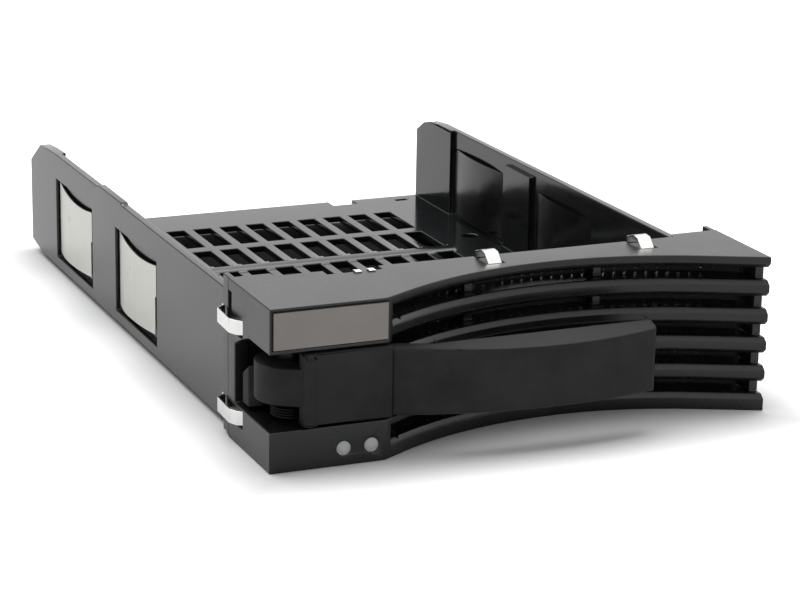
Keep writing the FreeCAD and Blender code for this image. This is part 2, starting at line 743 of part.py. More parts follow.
def build_lever():
    """The swing-out handle: knuckle, hook, ribbed root and bowed grip, all one moulding."""
    body = new_body("lever")
    grip = new_sketch(body, "lever_grip", "XY_Plane", "Dims.grip_bottom")
    outline(
        grip,
        [
            ("Dims.grip_start", "0", ("Dims.grip_radius", -1)),
            ("Dims.grip_end", "-Dims.grip_front"),
            ("Dims.grip_end + 0.4", "-0.6", ("1.3*Dims.grip_radius", 1)),
            ("-18", "-1.3"),
            ("Dims.grip_start + 1.2", "Dims.lever_thick"),
            ("Dims.grip_start - 0.6", "Dims.lever_thick"),
        ],
    )
    pad(body, grip, "Dims.grip_top - Dims.grip_bottom")

    def grip_edge(edge):
        """Whether an edge is one of the long front edges or the end edges of the grip."""
        box = edge.BoundBox
        long_front = box.XLength > 50 and box.YMin < -6
        end = box.XMin > value("Dims.grip_end") - 0.1
        return long_front or (end and box.ZLength > 5 and box.YMax < -4)

    chamfer(body, "grip_edges", "Dims.grip_bevel", grip_edge)

    root = new_sketch(body, "lever_root", "XY_Plane", "Dims.lever_bottom")
    outline(
        root,
        [
            ("Dims.rib_left", "Dims.lever_thick"),
            ("Dims.rib_left", "-0.3"),
            ("Dims.rib_left + 0.5", "-0.8"),
            ("Dims.rib_right - 0.5", "-0.8"),
            ("Dims.rib_right", "-0.3"),
            ("Dims.rib_right + 0.6", "0.2"),
            ("Dims.grip_start", "0.2"),
            ("Dims.grip_start", "Dims.lever_thick"),
        ],
    )
    pad(body, root, "Dims.lever_top - Dims.lever_bottom")
    rib = new_sketch(body, "lever_rib", "XY_Plane", "Dims.lever_bottom")
    rectangle(rib, "Dims.rib_left", "Dims.rib_right", "-0.3", "Dims.lever_thick")
    pad(body, rib, "Dims.grip_top - Dims.lever_bottom")

    knuckle = new_sketch(body, "knuckle", "XY_Plane", "Dims.knuckle_bottom")
    circle(knuckle, "Dims.hinge_x", "Dims.hinge_y", "Dims.knuckle_radius")
    height = "Dims.knuckle_top - Dims.knuckle_bottom"
    pad(body, knuckle, height)
    neck = new_sketch(body, "neck", "XY_Plane", "Dims.knuckle_bottom")
    outline(
        neck,
        [
            ("Dims.rib_left - 3.2", "3.2"),
            ("Dims.rib_left + 0.2", "0.9"),
            ("Dims.rib_right + 4", "0.9"),
            ("Dims.hinge_x + Dims.knuckle_radius - 1", "Dims.hinge_y - 2"),
            ("Dims.rib_left", "Dims.hinge_y - 2"),
        ],
    )
    pad(body, neck, height)

    # hook that draws the caddy into its bay
    hook = new_sketch(body, "hook", "XY_Plane", "Dims.lever_bottom + 0.2")
    outline(
        hook,
        [
            ("Dims.hinge_x - 6.8", "13.9"),
            ("Dims.hinge_x - 4.2", "13.4"),
            ("Dims.hinge_x - 2", "14.3"),
            ("Dims.hinge_x + 2.6", "14"),
            ("Dims.hinge_x + 2", "17.4"),
            ("Dims.hinge_x", "18.4"),
            ("Dims.hinge_x - 5.6", "18.4"),
            ("Dims.hinge_x - 6.8", "17.2"),
        ],
    )
    pad(body, hook, "9")
    slope = new_sketch(body, "hook_slope", "YZ_Plane", "-56")
    outline(slope, [("12.6", "18.9"), ("19", "14.6"), ("19", "18.9")])
    pocket(body, slope, "16", forwards=True)
    bore = new_sketch(body, "lever_bore", "XY_Plane", "Dims.knuckle_bottom - 5")
    circle(bore, "Dims.hinge_x", "Dims.hinge_y", "Dims.pin_radius + Dims.running_gap")
    pocket(body, bore, "15", forwards=True)


def turn(body, sketch, name, across):
    """Turn a section once round the upright line of its sketch that stands at the given expression."""
    place = value(across)
    number = sketch.addGeometry(Part.LineSegment(Vector(place, 0, 0), Vector(place, 10, 0)), True)
    sketch.addConstraint(Sketcher.Constraint("Vertical", number))
    limit = sketch.addConstraint(Sketcher.Constraint("DistanceX", -1, 1, number, 1, place))
    bind(sketch, f"Constraints[{limit}]", across)
    doc.recompute()
    feature = body.newObject("PartDesign::Revolution", name)
    feature.Profile = sketch
    feature.ReferenceAxis = (sketch, ["Axis0"])
    feature.Angle = 360
    doc.recompute()
    return feature


def build_hinge_pin():
    """The steel dowel that the handle turns on."""
    body = new_body("hinge_pin")
    sketch = new_sketch(body, "pin_section", "XY_Plane", "Dims.pin_bottom")
    circle(sketch, "Dims.hinge_x", "Dims.hinge_y", "Dims.pin_radius")
    pad(body, sketch, "Dims.pin_top - Dims.pin_bottom")


def build_lever_spring():
    """The torsion spring round the lower boss: two coils and two short legs."""
    body = new_body("lever_spring")
    coils = 2
    sketch = new_sketch(body, "coil_section", "XZ_Plane", "-Dims.hinge_y")
    bottom = "(Dims.opening_bottom + 0.1)"
    inside = "(Dims.hinge_x + Dims.boss_radius + 0.6)"
    pitch = 1.3
    outside = f"({inside} + 2*Dims.spring_wire_radius)"
    groove = f"({inside} + 0.15)"
    corners = [(inside, bottom), (groove, bottom)]
    for number in range(coils):
        corners.append((outside, f"{bottom} + {(number + 0.5) * pitch}"))
        corners.append((groove, f"{bottom} + {(number + 1) * pitch}"))
    corners.append((inside, f"{bottom} + {coils * pitch}"))
    outline(sketch, corners)
    turn(body, sketch, "coils", "Dims.hinge_x")
    for name, side, level, reach in (("leg_low", 1, 0.5, "3.5"), ("leg_high", -1, coils - 0.5, "2.5")):
        leg = new_sketch(body, name, "XZ_Plane", "-Dims.hinge_y")
        across = f"(Dims.hinge_x + {side}*(Dims.boss_radius + 0.9))"
        up = f"({bottom} + {level * pitch})"
        rectangle(leg, f"{across} - 0.2", f"{across} + 0.2", f"{up} - 0.2", f"{up} + 0.2")
        pad(body, leg, reach)


def build_label_plate():
    """The blank plate that fills the label recess."""
    body = new_body("label_plate")
    sketch = new_sketch(body, "label_outline", "XZ_Plane", "-Dims.label_recess")
    gap = "0.35"
    rectangle(
        sketch,
        f"Dims.label_left + {gap}",
        "Dims.label_right - 0.1",
        "Dims.label_bottom + 0.1",
        f"Dims.label_top - {gap}",
    )
    pad(body, sketch, "Dims.label_thick")


def build_light_pipe(label, front_x, rear_x):
    """A clear rod: round domed lens in the front, then a square run bent over to the rear of the tray."""
    body = new_body(label)
    lens = new_sketch(body, f"{label}_lens", "XY_Plane", "Dims.light_height")
    edge = f"({front_x} + Dims.light_radius)"
    dome = "((Dims.light_radius^2 + Dims.light_dome^2)/(2*Dims.light_dome))"
    outline(
        lens,
        [
            (front_x, "-Dims.light_dome", (dome, -1)),
            (edge, "0"),
            (edge, "8"),
            (front_x, "8"),
        ],
    )
    turn(body, lens, f"{label}_barrel", front_x)
    run = new_sketch(body, f"{label}_run", "XY_Plane", "Dims.pipe_height - Dims.pipe_radius")
    near = [(f"{front_x} - Dims.pipe_radius", "7"), (f"{front_x} - Dims.pipe_radius", "9")]
    far = [(f"{rear_x} - Dims.pipe_radius", "18"), (f"{rear_x} - Dims.pipe_radius", "Dims.pipe_rear")]
    left = near + far
    right = [(f"{across} + 2*Dims.pipe_radius", along) for across, along in reversed(left)]
    outline(run, left + right)
    pad(body, run, "2*Dims.pipe_radius")


def build_shield():
    """The perforated screen that stands behind the bars and follows their curve."""
    body = new_body("emi_shield")
    plan = new_sketch(body, "shield_plan", "XY_Plane", "Dims.plate_bottom + 0.2")
    near = "(Dims.bar_depth + 0.3)"
    far = "(Dims.bar_depth + 0.7)"
    left = f"({CAVITY_LEFT} + 0.2)"
    right = f"({CAVITY_RIGHT} - 0.2)"
    outline(
        plan,
        [
            (left, behind_arc(left, near), (f"Dims.recess_radius + {near}", 1)),
            (right, behind_arc(right, near)),
            (right, behind_arc(right, far), (f"Dims.recess_radius + {far}", -1)),
            (left, behind_arc(left, far)),
        ],
    )
    pad(body, plan, f"{CAVITY_TOP} - Dims.plate_bottom - 0.9")
    hole = new_sketch(body, "shield_hole", "XZ_Plane", "-5")
    first = "(Dims.bar_height + Dims.bar_gap/2)"
    rectangle(hole, "-23.4", "-16.6", f"{first} - 1.4", f"{first} + 1.4")
    vent = pocket(body, hole, "30")
    grid_pattern(body, vent, hole, ("69.6", f"4*{BAR_PITCH}"), ("9", "5"), "shield_holes")


def build_top_clip(label, centre):
    """A spring clip hooked over the rear edge of the top rim."""
    body = new_body(label)
    rim = "Dims.bezel_height"
    path = [
        ("17.5", f"{CAVITY_TOP} - 0.25"),
        ("Dims.rim_rear + 0.35", f"{CAVITY_TOP} - 0.25"),
        ("Dims.rim_rear + 0.35", f"{rim} + 0.9"),
        ("Dims.rim_rear - 2.4", f"{rim} + 1.8"),
        ("Dims.rim_rear - 4.2", f"{rim} + 1.6"),
        ("Dims.rim_rear - 6.1", f"{rim} - 0.25"),
    ]
    folded_strip(body, f"{label}_strip", "YZ_Plane", path, "Dims.clip_width", "Dims.clip_thick", centre)


def build_side_clip(label, side, centre):
    """A bowed spring clip that lies in the side of the bezel and bears on the bay."""
    body = new_body(label)
    half = "Dims.bezel_width/2"
    path = [
        (f"{side}*({half} - 1.0)", "Dims.flange_rear + 2.5"),
        (f"{side}*({half} - 1.0)", "Dims.flange_rear + 1.4"),
        (f"{side}*({half} + 1.0)", "Dims.flange_rear - 0.3"),
        (f"{side}*({half} + 1.3)", "Dims.flange_rear - 7.9"),
        (f"{side}*({half} + 0.5)", "Dims.flange_rear - 9.9"),
        (f"{side}*({half} - 1.1)", "Dims.flange_rear - 10.9"),
    ]
    folded_strip(body, f"{label}_strip", "XY_Plane", path, "Dims.clip_width", "Dims.clip_thick", centre)


def build_contact_tab():
    """The small two-fingered contact in the notch of the top rim."""
    body = new_body("contact_tab")
    front = "Dims.rim_rear - 2.6"
    web = new_sketch(body, "tab_web", "XZ_Plane", f"-({front} + 0.05)")
    outline(
        web,
        [
            ("-30.4", "29"),
            ("-26", "29"),
            ("-26", "Dims.bezel_height + 0.05"),
            ("-27.4", "Dims.bezel_height + 0.05"),
            ("-27.4", "32"),
            ("-29", "32"),
            ("-29", "Dims.bezel_height + 0.05"),
            ("-30.4", "Dims.bezel_height + 0.05"),
        ],
    )
    pad(body, web, "0.3", backwards=True)
    for name, left in (("finger_left", "-30.4"), ("finger_right", "-27.4")):
        finger = new_sketch(body, name, "XY_Plane", "Dims.bezel_height + 0.05")
        rectangle(finger, left, f"{left} + 1.4", f"{front} - 1.3", f"{front} + 0.35")
        pad(body, finger, "0.3")


def build_side_spring(label, side, number):
    """A bowed plate spring in a window of a side wall, with a foot at its front that rests on the skin."""
    body = new_body(label)
    front = f"(Dims.window_front + {number}*Dims.window_step)"
    rear = f"({front} + Dims.window_length - 1.8)"
    face = "(Dims.wall_outer - 0.1)"
    thick = "Dims.plate_thick"
    bow = new_sketch(body, f"{label}_bow", "XY_Plane", "Dims.window_bottom + 0.8")
    inner = f"({face} - {thick})"
    outline(
        bow,
        [
            (f"{side}*{face}", f"{front} + 1.8", ("Dims.plate_bow_radius", -side)),
            (f"{side}*{face}", rear),
            (f"{side}*{inner}", rear, ("Dims.plate_bow_radius", side)),
            (f"{side}*{inner}", f"{front} + 1.8"),
        ],
    )
    pad(body, bow, "Dims.window_top - Dims.window_bottom - 1.6")
    tab = new_sketch(body, f"{label}_tab", "XY_Plane", "Dims.window_top - 9")
    foot = "(Dims.panel_inner + Dims.recess_skin + 0.05)"
    outline(
        tab,
        [
            (f"{side}*{face}", f"{front} + 0.25"),
            (f"{side}*{face}", f"{front} + 2.2"),
            (f"{side}*{inner}", f"{front} + 2.2"),
            (f"{side}*{inner}", f"{front} + 0.75"),
            (f"{side}*{foot}", f"{front} + 0.75"),
            (f"{side}*{foot}", f"{front} + 0.25"),
        ],
    )
    pad(body, tab, "7.2")
    corner = new_sketch(body, f"{label}_corner", "YZ_Plane", f"{side}*56")
    low = "(Dims.window_bottom + 0.6)"
    outline(
        corner,
        [
            (f"{rear} - 8", low, ("10", 1)),
            (f"{rear} + 0.2", f"{low} + 6"),
            (f"{rear} + 0.2", low),
        ],
    )
    pocket(body, corner, "6", forwards=side < 0)
    top = new_sketch(body, f"{label}_top", "YZ_Plane", f"{side}*56")
    high = "(Dims.window_top - 0.7)"
    outline(
        top,
        [
            (f"{front} + 2.4", high),
            (f"{front} + 2.4", f"{high} - 0.9"),
            (f"{rear} - 3.5", f"{high} - 1.1"),
            (f"{rear} - 1.6", high),
        ],
    )
    pocket(body, top, "6", forwards=side < 0)


def build_bezel_screws():
    """The two countersunk screws that hold the tray to the bezel, as one group."""
    screws = []
    length = 7.0
    along = value("Dims.screw_y")
    for _, place in SCREWS:
        across = value(place)
        head = Part.makeCylinder(2.2, 0.6, Vector(across, along, 0.05))
        shank = Part.makeCylinder(1.1, length, Vector(across, along, 0.6))
        slot = Part.makeBox(3.2, 0.5, 0.35, Vector(across - 1.6, along - 0.25, 0.0))
        cross = Part.makeBox(0.5, 3.2, 0.35, Vector(across - 0.25, along - 1.6, 0.0))
        screws.append(head.fuse(shank).cut(slot.fuse(cross)).removeSplitter())
    new_feature("bezel_screws", Part.makeCompound(screws))


build_tray()
build_bezel()
build_lever()
build_hinge_pin()
build_lever_spring()
build_label_plate()
build_light_pipe("light_pipe_left", "Dims.light_left", "Dims.pipe_left")
build_light_pipe("light_pipe_right", "Dims.light_right", "Dims.pipe_right")
build_shield()
build_top_clip("emi_clip_top_middle", "Dims.top_clip_middle")
build_top_clip("emi_clip_top_right", "Dims.top_clip_right")
for side_name, side_sign in (("left", -1), ("right", 1)):
    build_side_clip(f"emi_clip_{side_name}_upper", side_sign, "Dims.side_clip_upper")
    build_side_clip(f"emi_clip_{side_name}_lower", side_sign, "Dims.side_clip_lower")
    build_side_spring(f"side_spring_{side_name}_front", side_sign, 0)
    build_side_spring(f"side_spring_{side_name}_rear", side_sign, 1)
build_contact_tab()
build_bezel_screws()
doc.recompute()

for item in doc.Objects:
    if {"Invalid", "Error"} & set(item.State):
        raise RuntimeError(f"{item.Name} failed: {item.State}")
os.makedirs("parts", exist_ok=True)
for item in parts:
    if item.Shape.isNull() or not item.Shape.isValid():
        raise RuntimeError(f"{item.Label} has no valid shape")
    item.Shape.exportStep(f"parts/{item.Label}.step")
    box = item.Shape.BoundBox
    print(
        f"{item.Label:26s} solids {len(item.Shape.Solids)} volume {item.Shape.Volume:9.1f}"
        f"  x {box.XMin:7.2f} {box.XMax:7.2f}  y {box.YMin:7.2f} {box.YMax:7.2f}  z {box.ZMin:6.2f} {box.ZMax:6.2f}"
    )
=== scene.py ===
"""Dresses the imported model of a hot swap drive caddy: mouldings, contacts, springs, screen and studio."""
import logging
import math
from dataclasses import dataclass
from enum import Enum
from typing import Sequence

import bmesh
import bpy
from mathutils import Matrix, Vector


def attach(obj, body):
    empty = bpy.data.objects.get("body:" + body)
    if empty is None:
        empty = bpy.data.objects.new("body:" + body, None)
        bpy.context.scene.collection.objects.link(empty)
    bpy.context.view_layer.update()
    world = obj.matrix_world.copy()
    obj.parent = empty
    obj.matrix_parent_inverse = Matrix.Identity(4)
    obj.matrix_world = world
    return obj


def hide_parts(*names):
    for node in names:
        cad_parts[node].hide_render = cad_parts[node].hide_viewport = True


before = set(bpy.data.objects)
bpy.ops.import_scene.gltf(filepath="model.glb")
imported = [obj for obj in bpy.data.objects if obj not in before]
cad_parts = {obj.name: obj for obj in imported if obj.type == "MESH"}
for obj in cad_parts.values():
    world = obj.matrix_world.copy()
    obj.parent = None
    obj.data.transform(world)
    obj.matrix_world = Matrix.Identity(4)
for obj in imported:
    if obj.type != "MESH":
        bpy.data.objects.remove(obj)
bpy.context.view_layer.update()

LOG = logging.getLogger("caddy")
MM = 0.001
CADDY = "caddy"
HANDLE = "handle"
SIDES = ((-1, "left"), (1, "right"))
WINDOW_STEP = 48.4
TRAY_LENGTH = 176.0
# The handle's bow reaches this far in front of the bezel's face.
BOW = 6.5016
SHIFT_Y = -(TRAY_LENGTH - BOW) / 2
MERGE = 2e-6

Pair = tuple[float, float]
Triple = tuple[float, float, float]


def at(x: float, y: float, z: float) -> Vector:
    """A point given in millimetres from the bezel's face, as metres in the shared frame."""
    return Vector((x * MM, (y + SHIFT_Y) * MM, z * MM))


class Axis(Enum):
    """Directions along which a metal is rolled, drawn or brushed."""

    Y = (0.0, 1.0, 0.0)
    Z = (0.0, 0.0, 1.0)


# ---------------------------------------------------------------- node trees


class NodeSheet:
    """A node tree with short ways to add its nodes and to feed them."""

    def __init__(self, tree: bpy.types.NodeTree) -> None:
        """Takes a tree that is there already."""
        self.tree = tree

    def feed(self, target: bpy.types.NodeSocket, source: object) -> None:
        """Links a socket to an input, or sets a plain value on it.

        Args:
            target: The input.
            source: An output socket or a plain value.
        """
        if isinstance(source, bpy.types.NodeSocket):
            self.tree.links.new(source, target)
        else:
            target.default_value = source

    def add(self, kind: str, inputs: dict | None = None, **options: object) -> bpy.types.Node:
        """Adds a node.

        Args:
            kind: Its type, as Blender names it.
            inputs: A socket or a plain value for each input, by name or number.
            options: Its options.

        Returns:
            The node.
        """
        node = self.tree.nodes.new(kind)
        for key, value in options.items():
            setattr(node, key, value)
        for key, source in (inputs or {}).items():
            self.feed(node.inputs[key], source)
        return node

    def math(self, operation: str, *values: object) -> bpy.types.NodeSocket:
        """Adds a Math node and gives back its result."""
        return self.add("ShaderNodeMath", dict(enumerate(values)), operation=operation).outputs[0]

    def vector(self, operation: str, *values: object) -> bpy.types.NodeSocket:
        """Adds a Vector Math node and gives back its vector."""
        return self.add("ShaderNodeVectorMath", dict(enumerate(values)), operation=operation).outputs[0]

    def join_xyz(self, *values: object) -> bpy.types.NodeSocket:
        """Adds a Combine XYZ node and gives back its vector."""
        return self.add("ShaderNodeCombineXYZ", dict(enumerate(values))).outputs[0]

    def mapped(
        self, value: bpy.types.NodeSocket, come: Pair, go: Pair, style: str = "LINEAR"
    ) -> bpy.types.NodeSocket:
        """Maps one range of a value to another and holds it beyond the ends.

        Args:
            value: The value.
            come: The range that it has.
            go: What it becomes at either end of that range.
            style: How it changes between them, as Blender names it.

        Returns:
            The mapped value.
        """
        inputs = {"Value": value, "From Min": come[0], "From Max": come[1], "To Min": go[0], "To Max": go[1]}
        return self.add("ShaderNodeMapRange", inputs, interpolation_type=style).outputs["Result"]

    def noise(
        self, place: bpy.types.NodeSocket, scale: object, detail: float, roughness: float = 0.5
    ) -> bpy.types.NodeSocket:
        """Adds a Noise node.

        Args:
            place: Where on the piece it is read.
            scale: How fine it is.
            detail: How many finer layers it has.
            roughness: How strong these are.

        Returns:
            The socket of its value, 0 to 1.
        """
        inputs = {"Vector": place, "Scale": scale, "Detail": detail, "Roughness": roughness}
        return self.add("ShaderNodeTexNoise", inputs).outputs["Fac"]


class EffectGroup(NodeSheet):
    """A shared shader group that works out the relief, the roughness and the tone of a surface."""

    def __init__(self, name: str, inputs: dict[str, str]) -> None:
        """Starts the group.

        Args:
            name: Its name.
            inputs: The kind of each named input, without the NodeSocket prefix.
        """
        super().__init__(bpy.data.node_groups.new(name, "ShaderNodeTree"))
        sockets = [(key, "INPUT", kind) for key, kind in inputs.items()]
        sockets += [(key, "OUTPUT", "Float") for key in ("Height", "Roughness", "Tone")]
        for key, way, kind in sockets:
            self.tree.interface.new_socket(name=key, in_out=way, socket_type=f"NodeSocket{kind}")
        self.come = self.add("NodeGroupInput").outputs
        self.place = self.add("ShaderNodeTexCoord").outputs["Object"]

    def uneven(self, cloud: bpy.types.NodeSocket) -> tuple[bpy.types.NodeSocket, bpy.types.NodeSocket]:
        """Spreads a soft noise to -1 to 1, and lets it vary the roughness.

        Args:
            cloud: The noise.

        Returns:
            The spread noise and the roughness.
        """
        spread = self.mapped(cloud, (0.3, 0.7), (-1.0, 1.0))
        rough = self.math("MULTIPLY_ADD", spread, self.come["Roughness Spread"], self.come["Roughness"])
        return spread, rough

    def close(self, height: object, roughness: object, tone: object) -> bpy.types.NodeTree:
        """Ends the group and gives back its tree."""
        self.add("NodeGroupOutput", {"Height": height, "Roughness": roughness, "Tone": tone})
        return self.tree


def moulded_grain() -> bpy.types.NodeTree:
    """The fine spark-eroded grain, flow shading and dust of a moulded surface.

    Returns:
        The shared group.
    """
    name = "moulded_grain"
    if name in bpy.data.node_groups:
        return bpy.data.node_groups[name]
    sizes = ("Grain Scale", "Roughness", "Roughness Spread", "Tone Spread")
    group = EffectGroup(name, dict.fromkeys(sizes, "Float"))
    grain = group.noise(group.place, scale=group.come["Grain Scale"], detail=2.0)
    flow, rough = group.uneven(group.noise(group.place, scale=55.0, detail=5.0, roughness=0.62))
    tone = group.math("MULTIPLY_ADD", flow, group.come["Tone Spread"], 1.0)
    dust = group.mapped(group.noise(group.place, scale=900.0, detail=1.0), (0.7, 0.78), (0.0, 0.1))
    return group.close(grain, rough, group.math("ADD", tone, dust))


def rolled_metal() -> bpy.types.NodeTree:
    """The fine lengthways lines and tarnish of rolled or drawn strip.

    Returns:
        The shared group.
    """
    name = "rolled_metal"
    if name in bpy.data.node_groups:
        return bpy.data.node_groups[name]
    sizes = ("Roughness", "Roughness Spread", "Tone Spread")
    group = EffectGroup(name, {"Stretch": "Vector", **dict.fromkeys(sizes, "Float")})
    stretched = group.vector("MULTIPLY", group.place, group.come["Stretch"])
    lines = group.noise(stretched, scale=1.0, detail=4.0)
    haze = group.noise(group.place, scale=160.0, detail=4.0)
    rough = group.uneven(haze)[1]
    mixed = group.math("SUBTRACT", group.math("ADD", lines, haze), 1.0)
    return group.close(lines, rough, group.math("MULTIPLY_ADD", mixed, group.come["Tone Spread"], 1.0))


class FinishSheet(NodeSheet):
    """A material with one Principled shader."""

    def __init__(self, name: str) -> None:
        """Starts the material."""
        self.material = bpy.data.materials.new(name)
        self.material.use_nodes = True
        super().__init__(self.material.node_tree)
        self.shader = self.tree.nodes["Principled BSDF"]

    def set(self, inputs: dict[str, object]) -> None:
        """Feeds the shader's inputs by name."""
        for key, source in inputs.items():
            self.feed(self.shader.inputs[key], source)

    def toned(self, colour: Triple, factor: bpy.types.NodeSocket) -> bpy.types.NodeSocket:
        """Multiplies a colour by a factor that varies over the surface.

        Args:
            colour: Linear red, green and blue.
            factor: The varying factor.

        Returns:
            The socket of the resulting colour.
        """
        scaled = self.add("ShaderNodeVectorMath", {0: colour, "Scale": factor}, operation="SCALE")
        return scaled.outputs["Vector"]

    def surface(
        self, group: bpy.types.NodeTree, sizes: dict[str, object], colour: Triple, depth: float
    ) -> None:
        """Takes the colour's tone, the roughness and the relief from a shared group.

        Args:
            group: The group.
            sizes: A value for each of its inputs.
            colour: Linear red, green and blue at an even tone.
            depth: How far the relief stands proud, in metres.
        """
        effect = self.add("ShaderNodeGroup", sizes, node_tree=group).outputs
        bump = self.add("ShaderNodeBump", {"Strength": 1.0, "Distance": depth, "Height": effect["Height"]})
        tone = self.toned(colour, effect["Tone"])
        self.set({"Base Color": tone, "Roughness": effect["Roughness"], "Normal": bump.outputs["Normal"]})


# ---------------------------------------------------------------- finishes


@dataclass(frozen=True)
class MouldedPlastic:
    """A moulded plastic with spark-eroded grain."""

    name: str
    colour: Triple
    roughness: float = 0.4
    roughness_spread: float = 0.06
    tone_spread: float = 0.2
    specular: float = 0.5
    grain_scale: float = 2600.0
    grain_depth: float = 0.000012
    transmission: float = 0.0
    index: float = 1.5

    def material(self) -> bpy.types.Material:
        """Builds the finish.

        Returns:
            The material.
        """
        sheet = FinishSheet(self.name)
        sizes = {
            "Grain Scale": self.grain_scale,
            "Roughness": self.roughness,
            "Roughness Spread": self.roughness_spread,
            "Tone Spread": self.tone_spread,
        }
        sheet.surface(moulded_grain(), sizes, self.colour, self.grain_depth)
        sheet.set(
            {"Specular IOR Level": self.specular, "Transmission Weight": self.transmission, "IOR": self.index}
        )
        return sheet.material


@dataclass(frozen=True)
class StripMetal:
    """Rolled or drawn metal with faint lines along one axis."""

    name: str
    colour: Triple
    roughness: float = 0.22
    roughness_spread: float = 0.08
    tone_spread: float = 0.15
    line_pitch: float = 9000.0
    line_length: float = 180.0
    along: Axis = Axis.Y
    depth: float = 0.000004
    metallic: float = 1.0

    def material(self) -> bpy.types.Material:
        """Builds the finish.

        Returns:
            The material.
        """
        sheet = FinishSheet(self.name)
        sizes = {
            "Stretch": [self.line_length if part else self.line_pitch for part in self.along.value],
            "Roughness": self.roughness,
            "Roughness Spread": self.roughness_spread,
            "Tone Spread": self.tone_spread,
        }
        sheet.surface(rolled_metal(), sizes, self.colour, self.depth)
        sheet.set({"Metallic": self.metallic})
        return sheet.material


# ---------------------------------------------------------------- mesh helpers


def link_piece(name: str, mesh: bpy.types.Mesh) -> bpy.types.Object:
    """Puts a mesh in the scene as an object at the origin.

    Args:
        name: The object's name.
        mesh: Its mesh.

    Returns:
        The object.
    """
    piece = bpy.data.objects.new(name, mesh)
    bpy.context.scene.collection.objects.link(piece)
    return piece


def mesh_from(bm: bmesh.types.BMesh, name: str) -> bpy.types.Mesh:
    """Turns a bmesh into a mesh and frees it.

    Args:
        bm: The bmesh.
        name: The mesh's name.

    Returns:
        The mesh.
    """
    mesh = bpy.data.meshes.new(name)
    bm.to_mesh(mesh)
    bm.free()
    return mesh


def evaluated_mesh(piece: bpy.types.Object) -> bpy.types.Mesh:
    """The mesh that a piece has once its modifiers have run.

    Args:
        piece: The piece.

    Returns:
        A new mesh.
    """
    graph = bpy.context.evaluated_depsgraph_get()
    graph.update()
    return bpy.data.meshes.new_from_object(piece.evaluated_get(graph))


def settle(piece: bpy.types.Object) -> None:
    """Applies every modifier of a piece, so that it holds a plain mesh.

    Args:
        piece: The piece.
    """
    mesh = evaluated_mesh(piece)
    piece.modifiers.clear()
    old = piece.data
    piece.data = mesh
    bpy.data.meshes.remove(old)


def smooth_by_angle(mesh: bpy.types.Mesh, degrees: float) -> None:
    """Shades a mesh smooth except across edges sharper than an angle."""
    mesh.shade_smooth()
    mesh.set_sharp_from_angle(angle=math.radians(degrees))


def thicken(piece: bpy.types.Object, thickness: float) -> None:
    """Gives an open sheet its thickness behind its face and shades it.

    Args:
        piece: The sheet.
        thickness: The thickness in millimetres.
    """
    solid = piece.modifiers.new("thickness", "SOLIDIFY")
    solid.thickness = thickness * MM
    solid.offset = -1.0
    settle(piece)
    smooth_by_angle(piece.data, 40.0)


def prism(outline: Sequence[Pair], across: Pair, name: str = "cutter") -> bpy.types.Object:
    """A solid with a given side outline.

    Args:
        outline: Points along Y and up, in millimetres from the bezel's face, in order.
        across: The X of its left and right ends in millimetres.
        name: Its name.

    Returns:
        The solid.
    """
    bm = bmesh.new()
    ends = [[bm.verts.new(at(x, y, z)) for y, z in outline] for x in across]
    bm.faces.new(ends[0])
    bm.faces.new(list(reversed(ends[1])))
    for index in range(len(outline)):
        after = (index + 1) % len(outline)
        bm.faces.new((ends[0][index], ends[1][index], ends[1][after], ends[0][after]))
    bmesh.ops.recalc_face_normals(bm, faces=bm.faces)
    return link_piece(name, mesh_from(bm, name))


def block(across: Pair, along: Pair, up: Pair, name: str = "block") -> bpy.types.Object:
    """A square block between two limits on each axis, in millimetres from the bezel's face.

    Args:
        across: Its limits along X.
        along: Its limits along Y.
        up: Its limits along Z.
        name: Its name.

    Returns:
        The block.
    """
    (front, rear), (low, high) = along, up
    return prism([(front, low), (rear, low), (rear, high), (front, high)], across, name)


def merged_copy(
    node: str, cutters: Sequence[bpy.types.Object] = (), additions: Sequence[bpy.types.Object] = ()
) -> bmesh.types.BMesh:
    """A copy of a CAD node's mesh with its doubles merged and its flat faces joined.

    Args:
        node: The CAD node's name.
        cutters: Solids that are cut away from the copy, and then removed.
        additions: Solids that are joined to the copy before it is cut, and then removed.

    Returns:
        The copy.
    """
    bm = bmesh.new()
    bm.from_mesh(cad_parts[node].data)
    bmesh.ops.remove_doubles(bm, verts=bm.verts, dist=MERGE)
    steps = [(solid, "UNION") for solid in additions] + [(solid, "DIFFERENCE") for solid in cutters]
    if steps:
        blank = link_piece("blank", mesh_from(bm, "blank"))
        for solid, operation in steps:
            combine(blank, solid, operation)
        bm = bmesh.new()
        bm.from_mesh(blank.data)
        bpy.data.objects.remove(blank)
        bmesh.ops.remove_doubles(bm, verts=bm.verts, dist=MERGE)
    bmesh.ops.dissolve_degenerate(bm, edges=bm.edges, dist=MERGE)
    bmesh.ops.dissolve_limit(bm, angle_limit=math.radians(0.3), verts=bm.verts, edges=bm.edges)
    bmesh.ops.triangulate(bm, faces=bm.faces, quad_method="BEAUTY", ngon_method="BEAUTY")
    bmesh.ops.recalc_face_normals(bm, faces=bm.faces)
    return bm


def combine(piece: bpy.types.Object, solid: bpy.types.Object, operation: str) -> None:
    """Joins a solid to a piece or cuts it away, and removes the solid.

    Args:
        piece: The piece that changes.
        solid: The solid that is used up.
        operation: The boolean's kind, as Blender names it.
    """
    change = piece.modifiers.new("change", "BOOLEAN")
    change.object = solid
    change.operation = operation
    change.solver = "EXACT"
    settle(piece)
    bpy.data.objects.remove(solid)


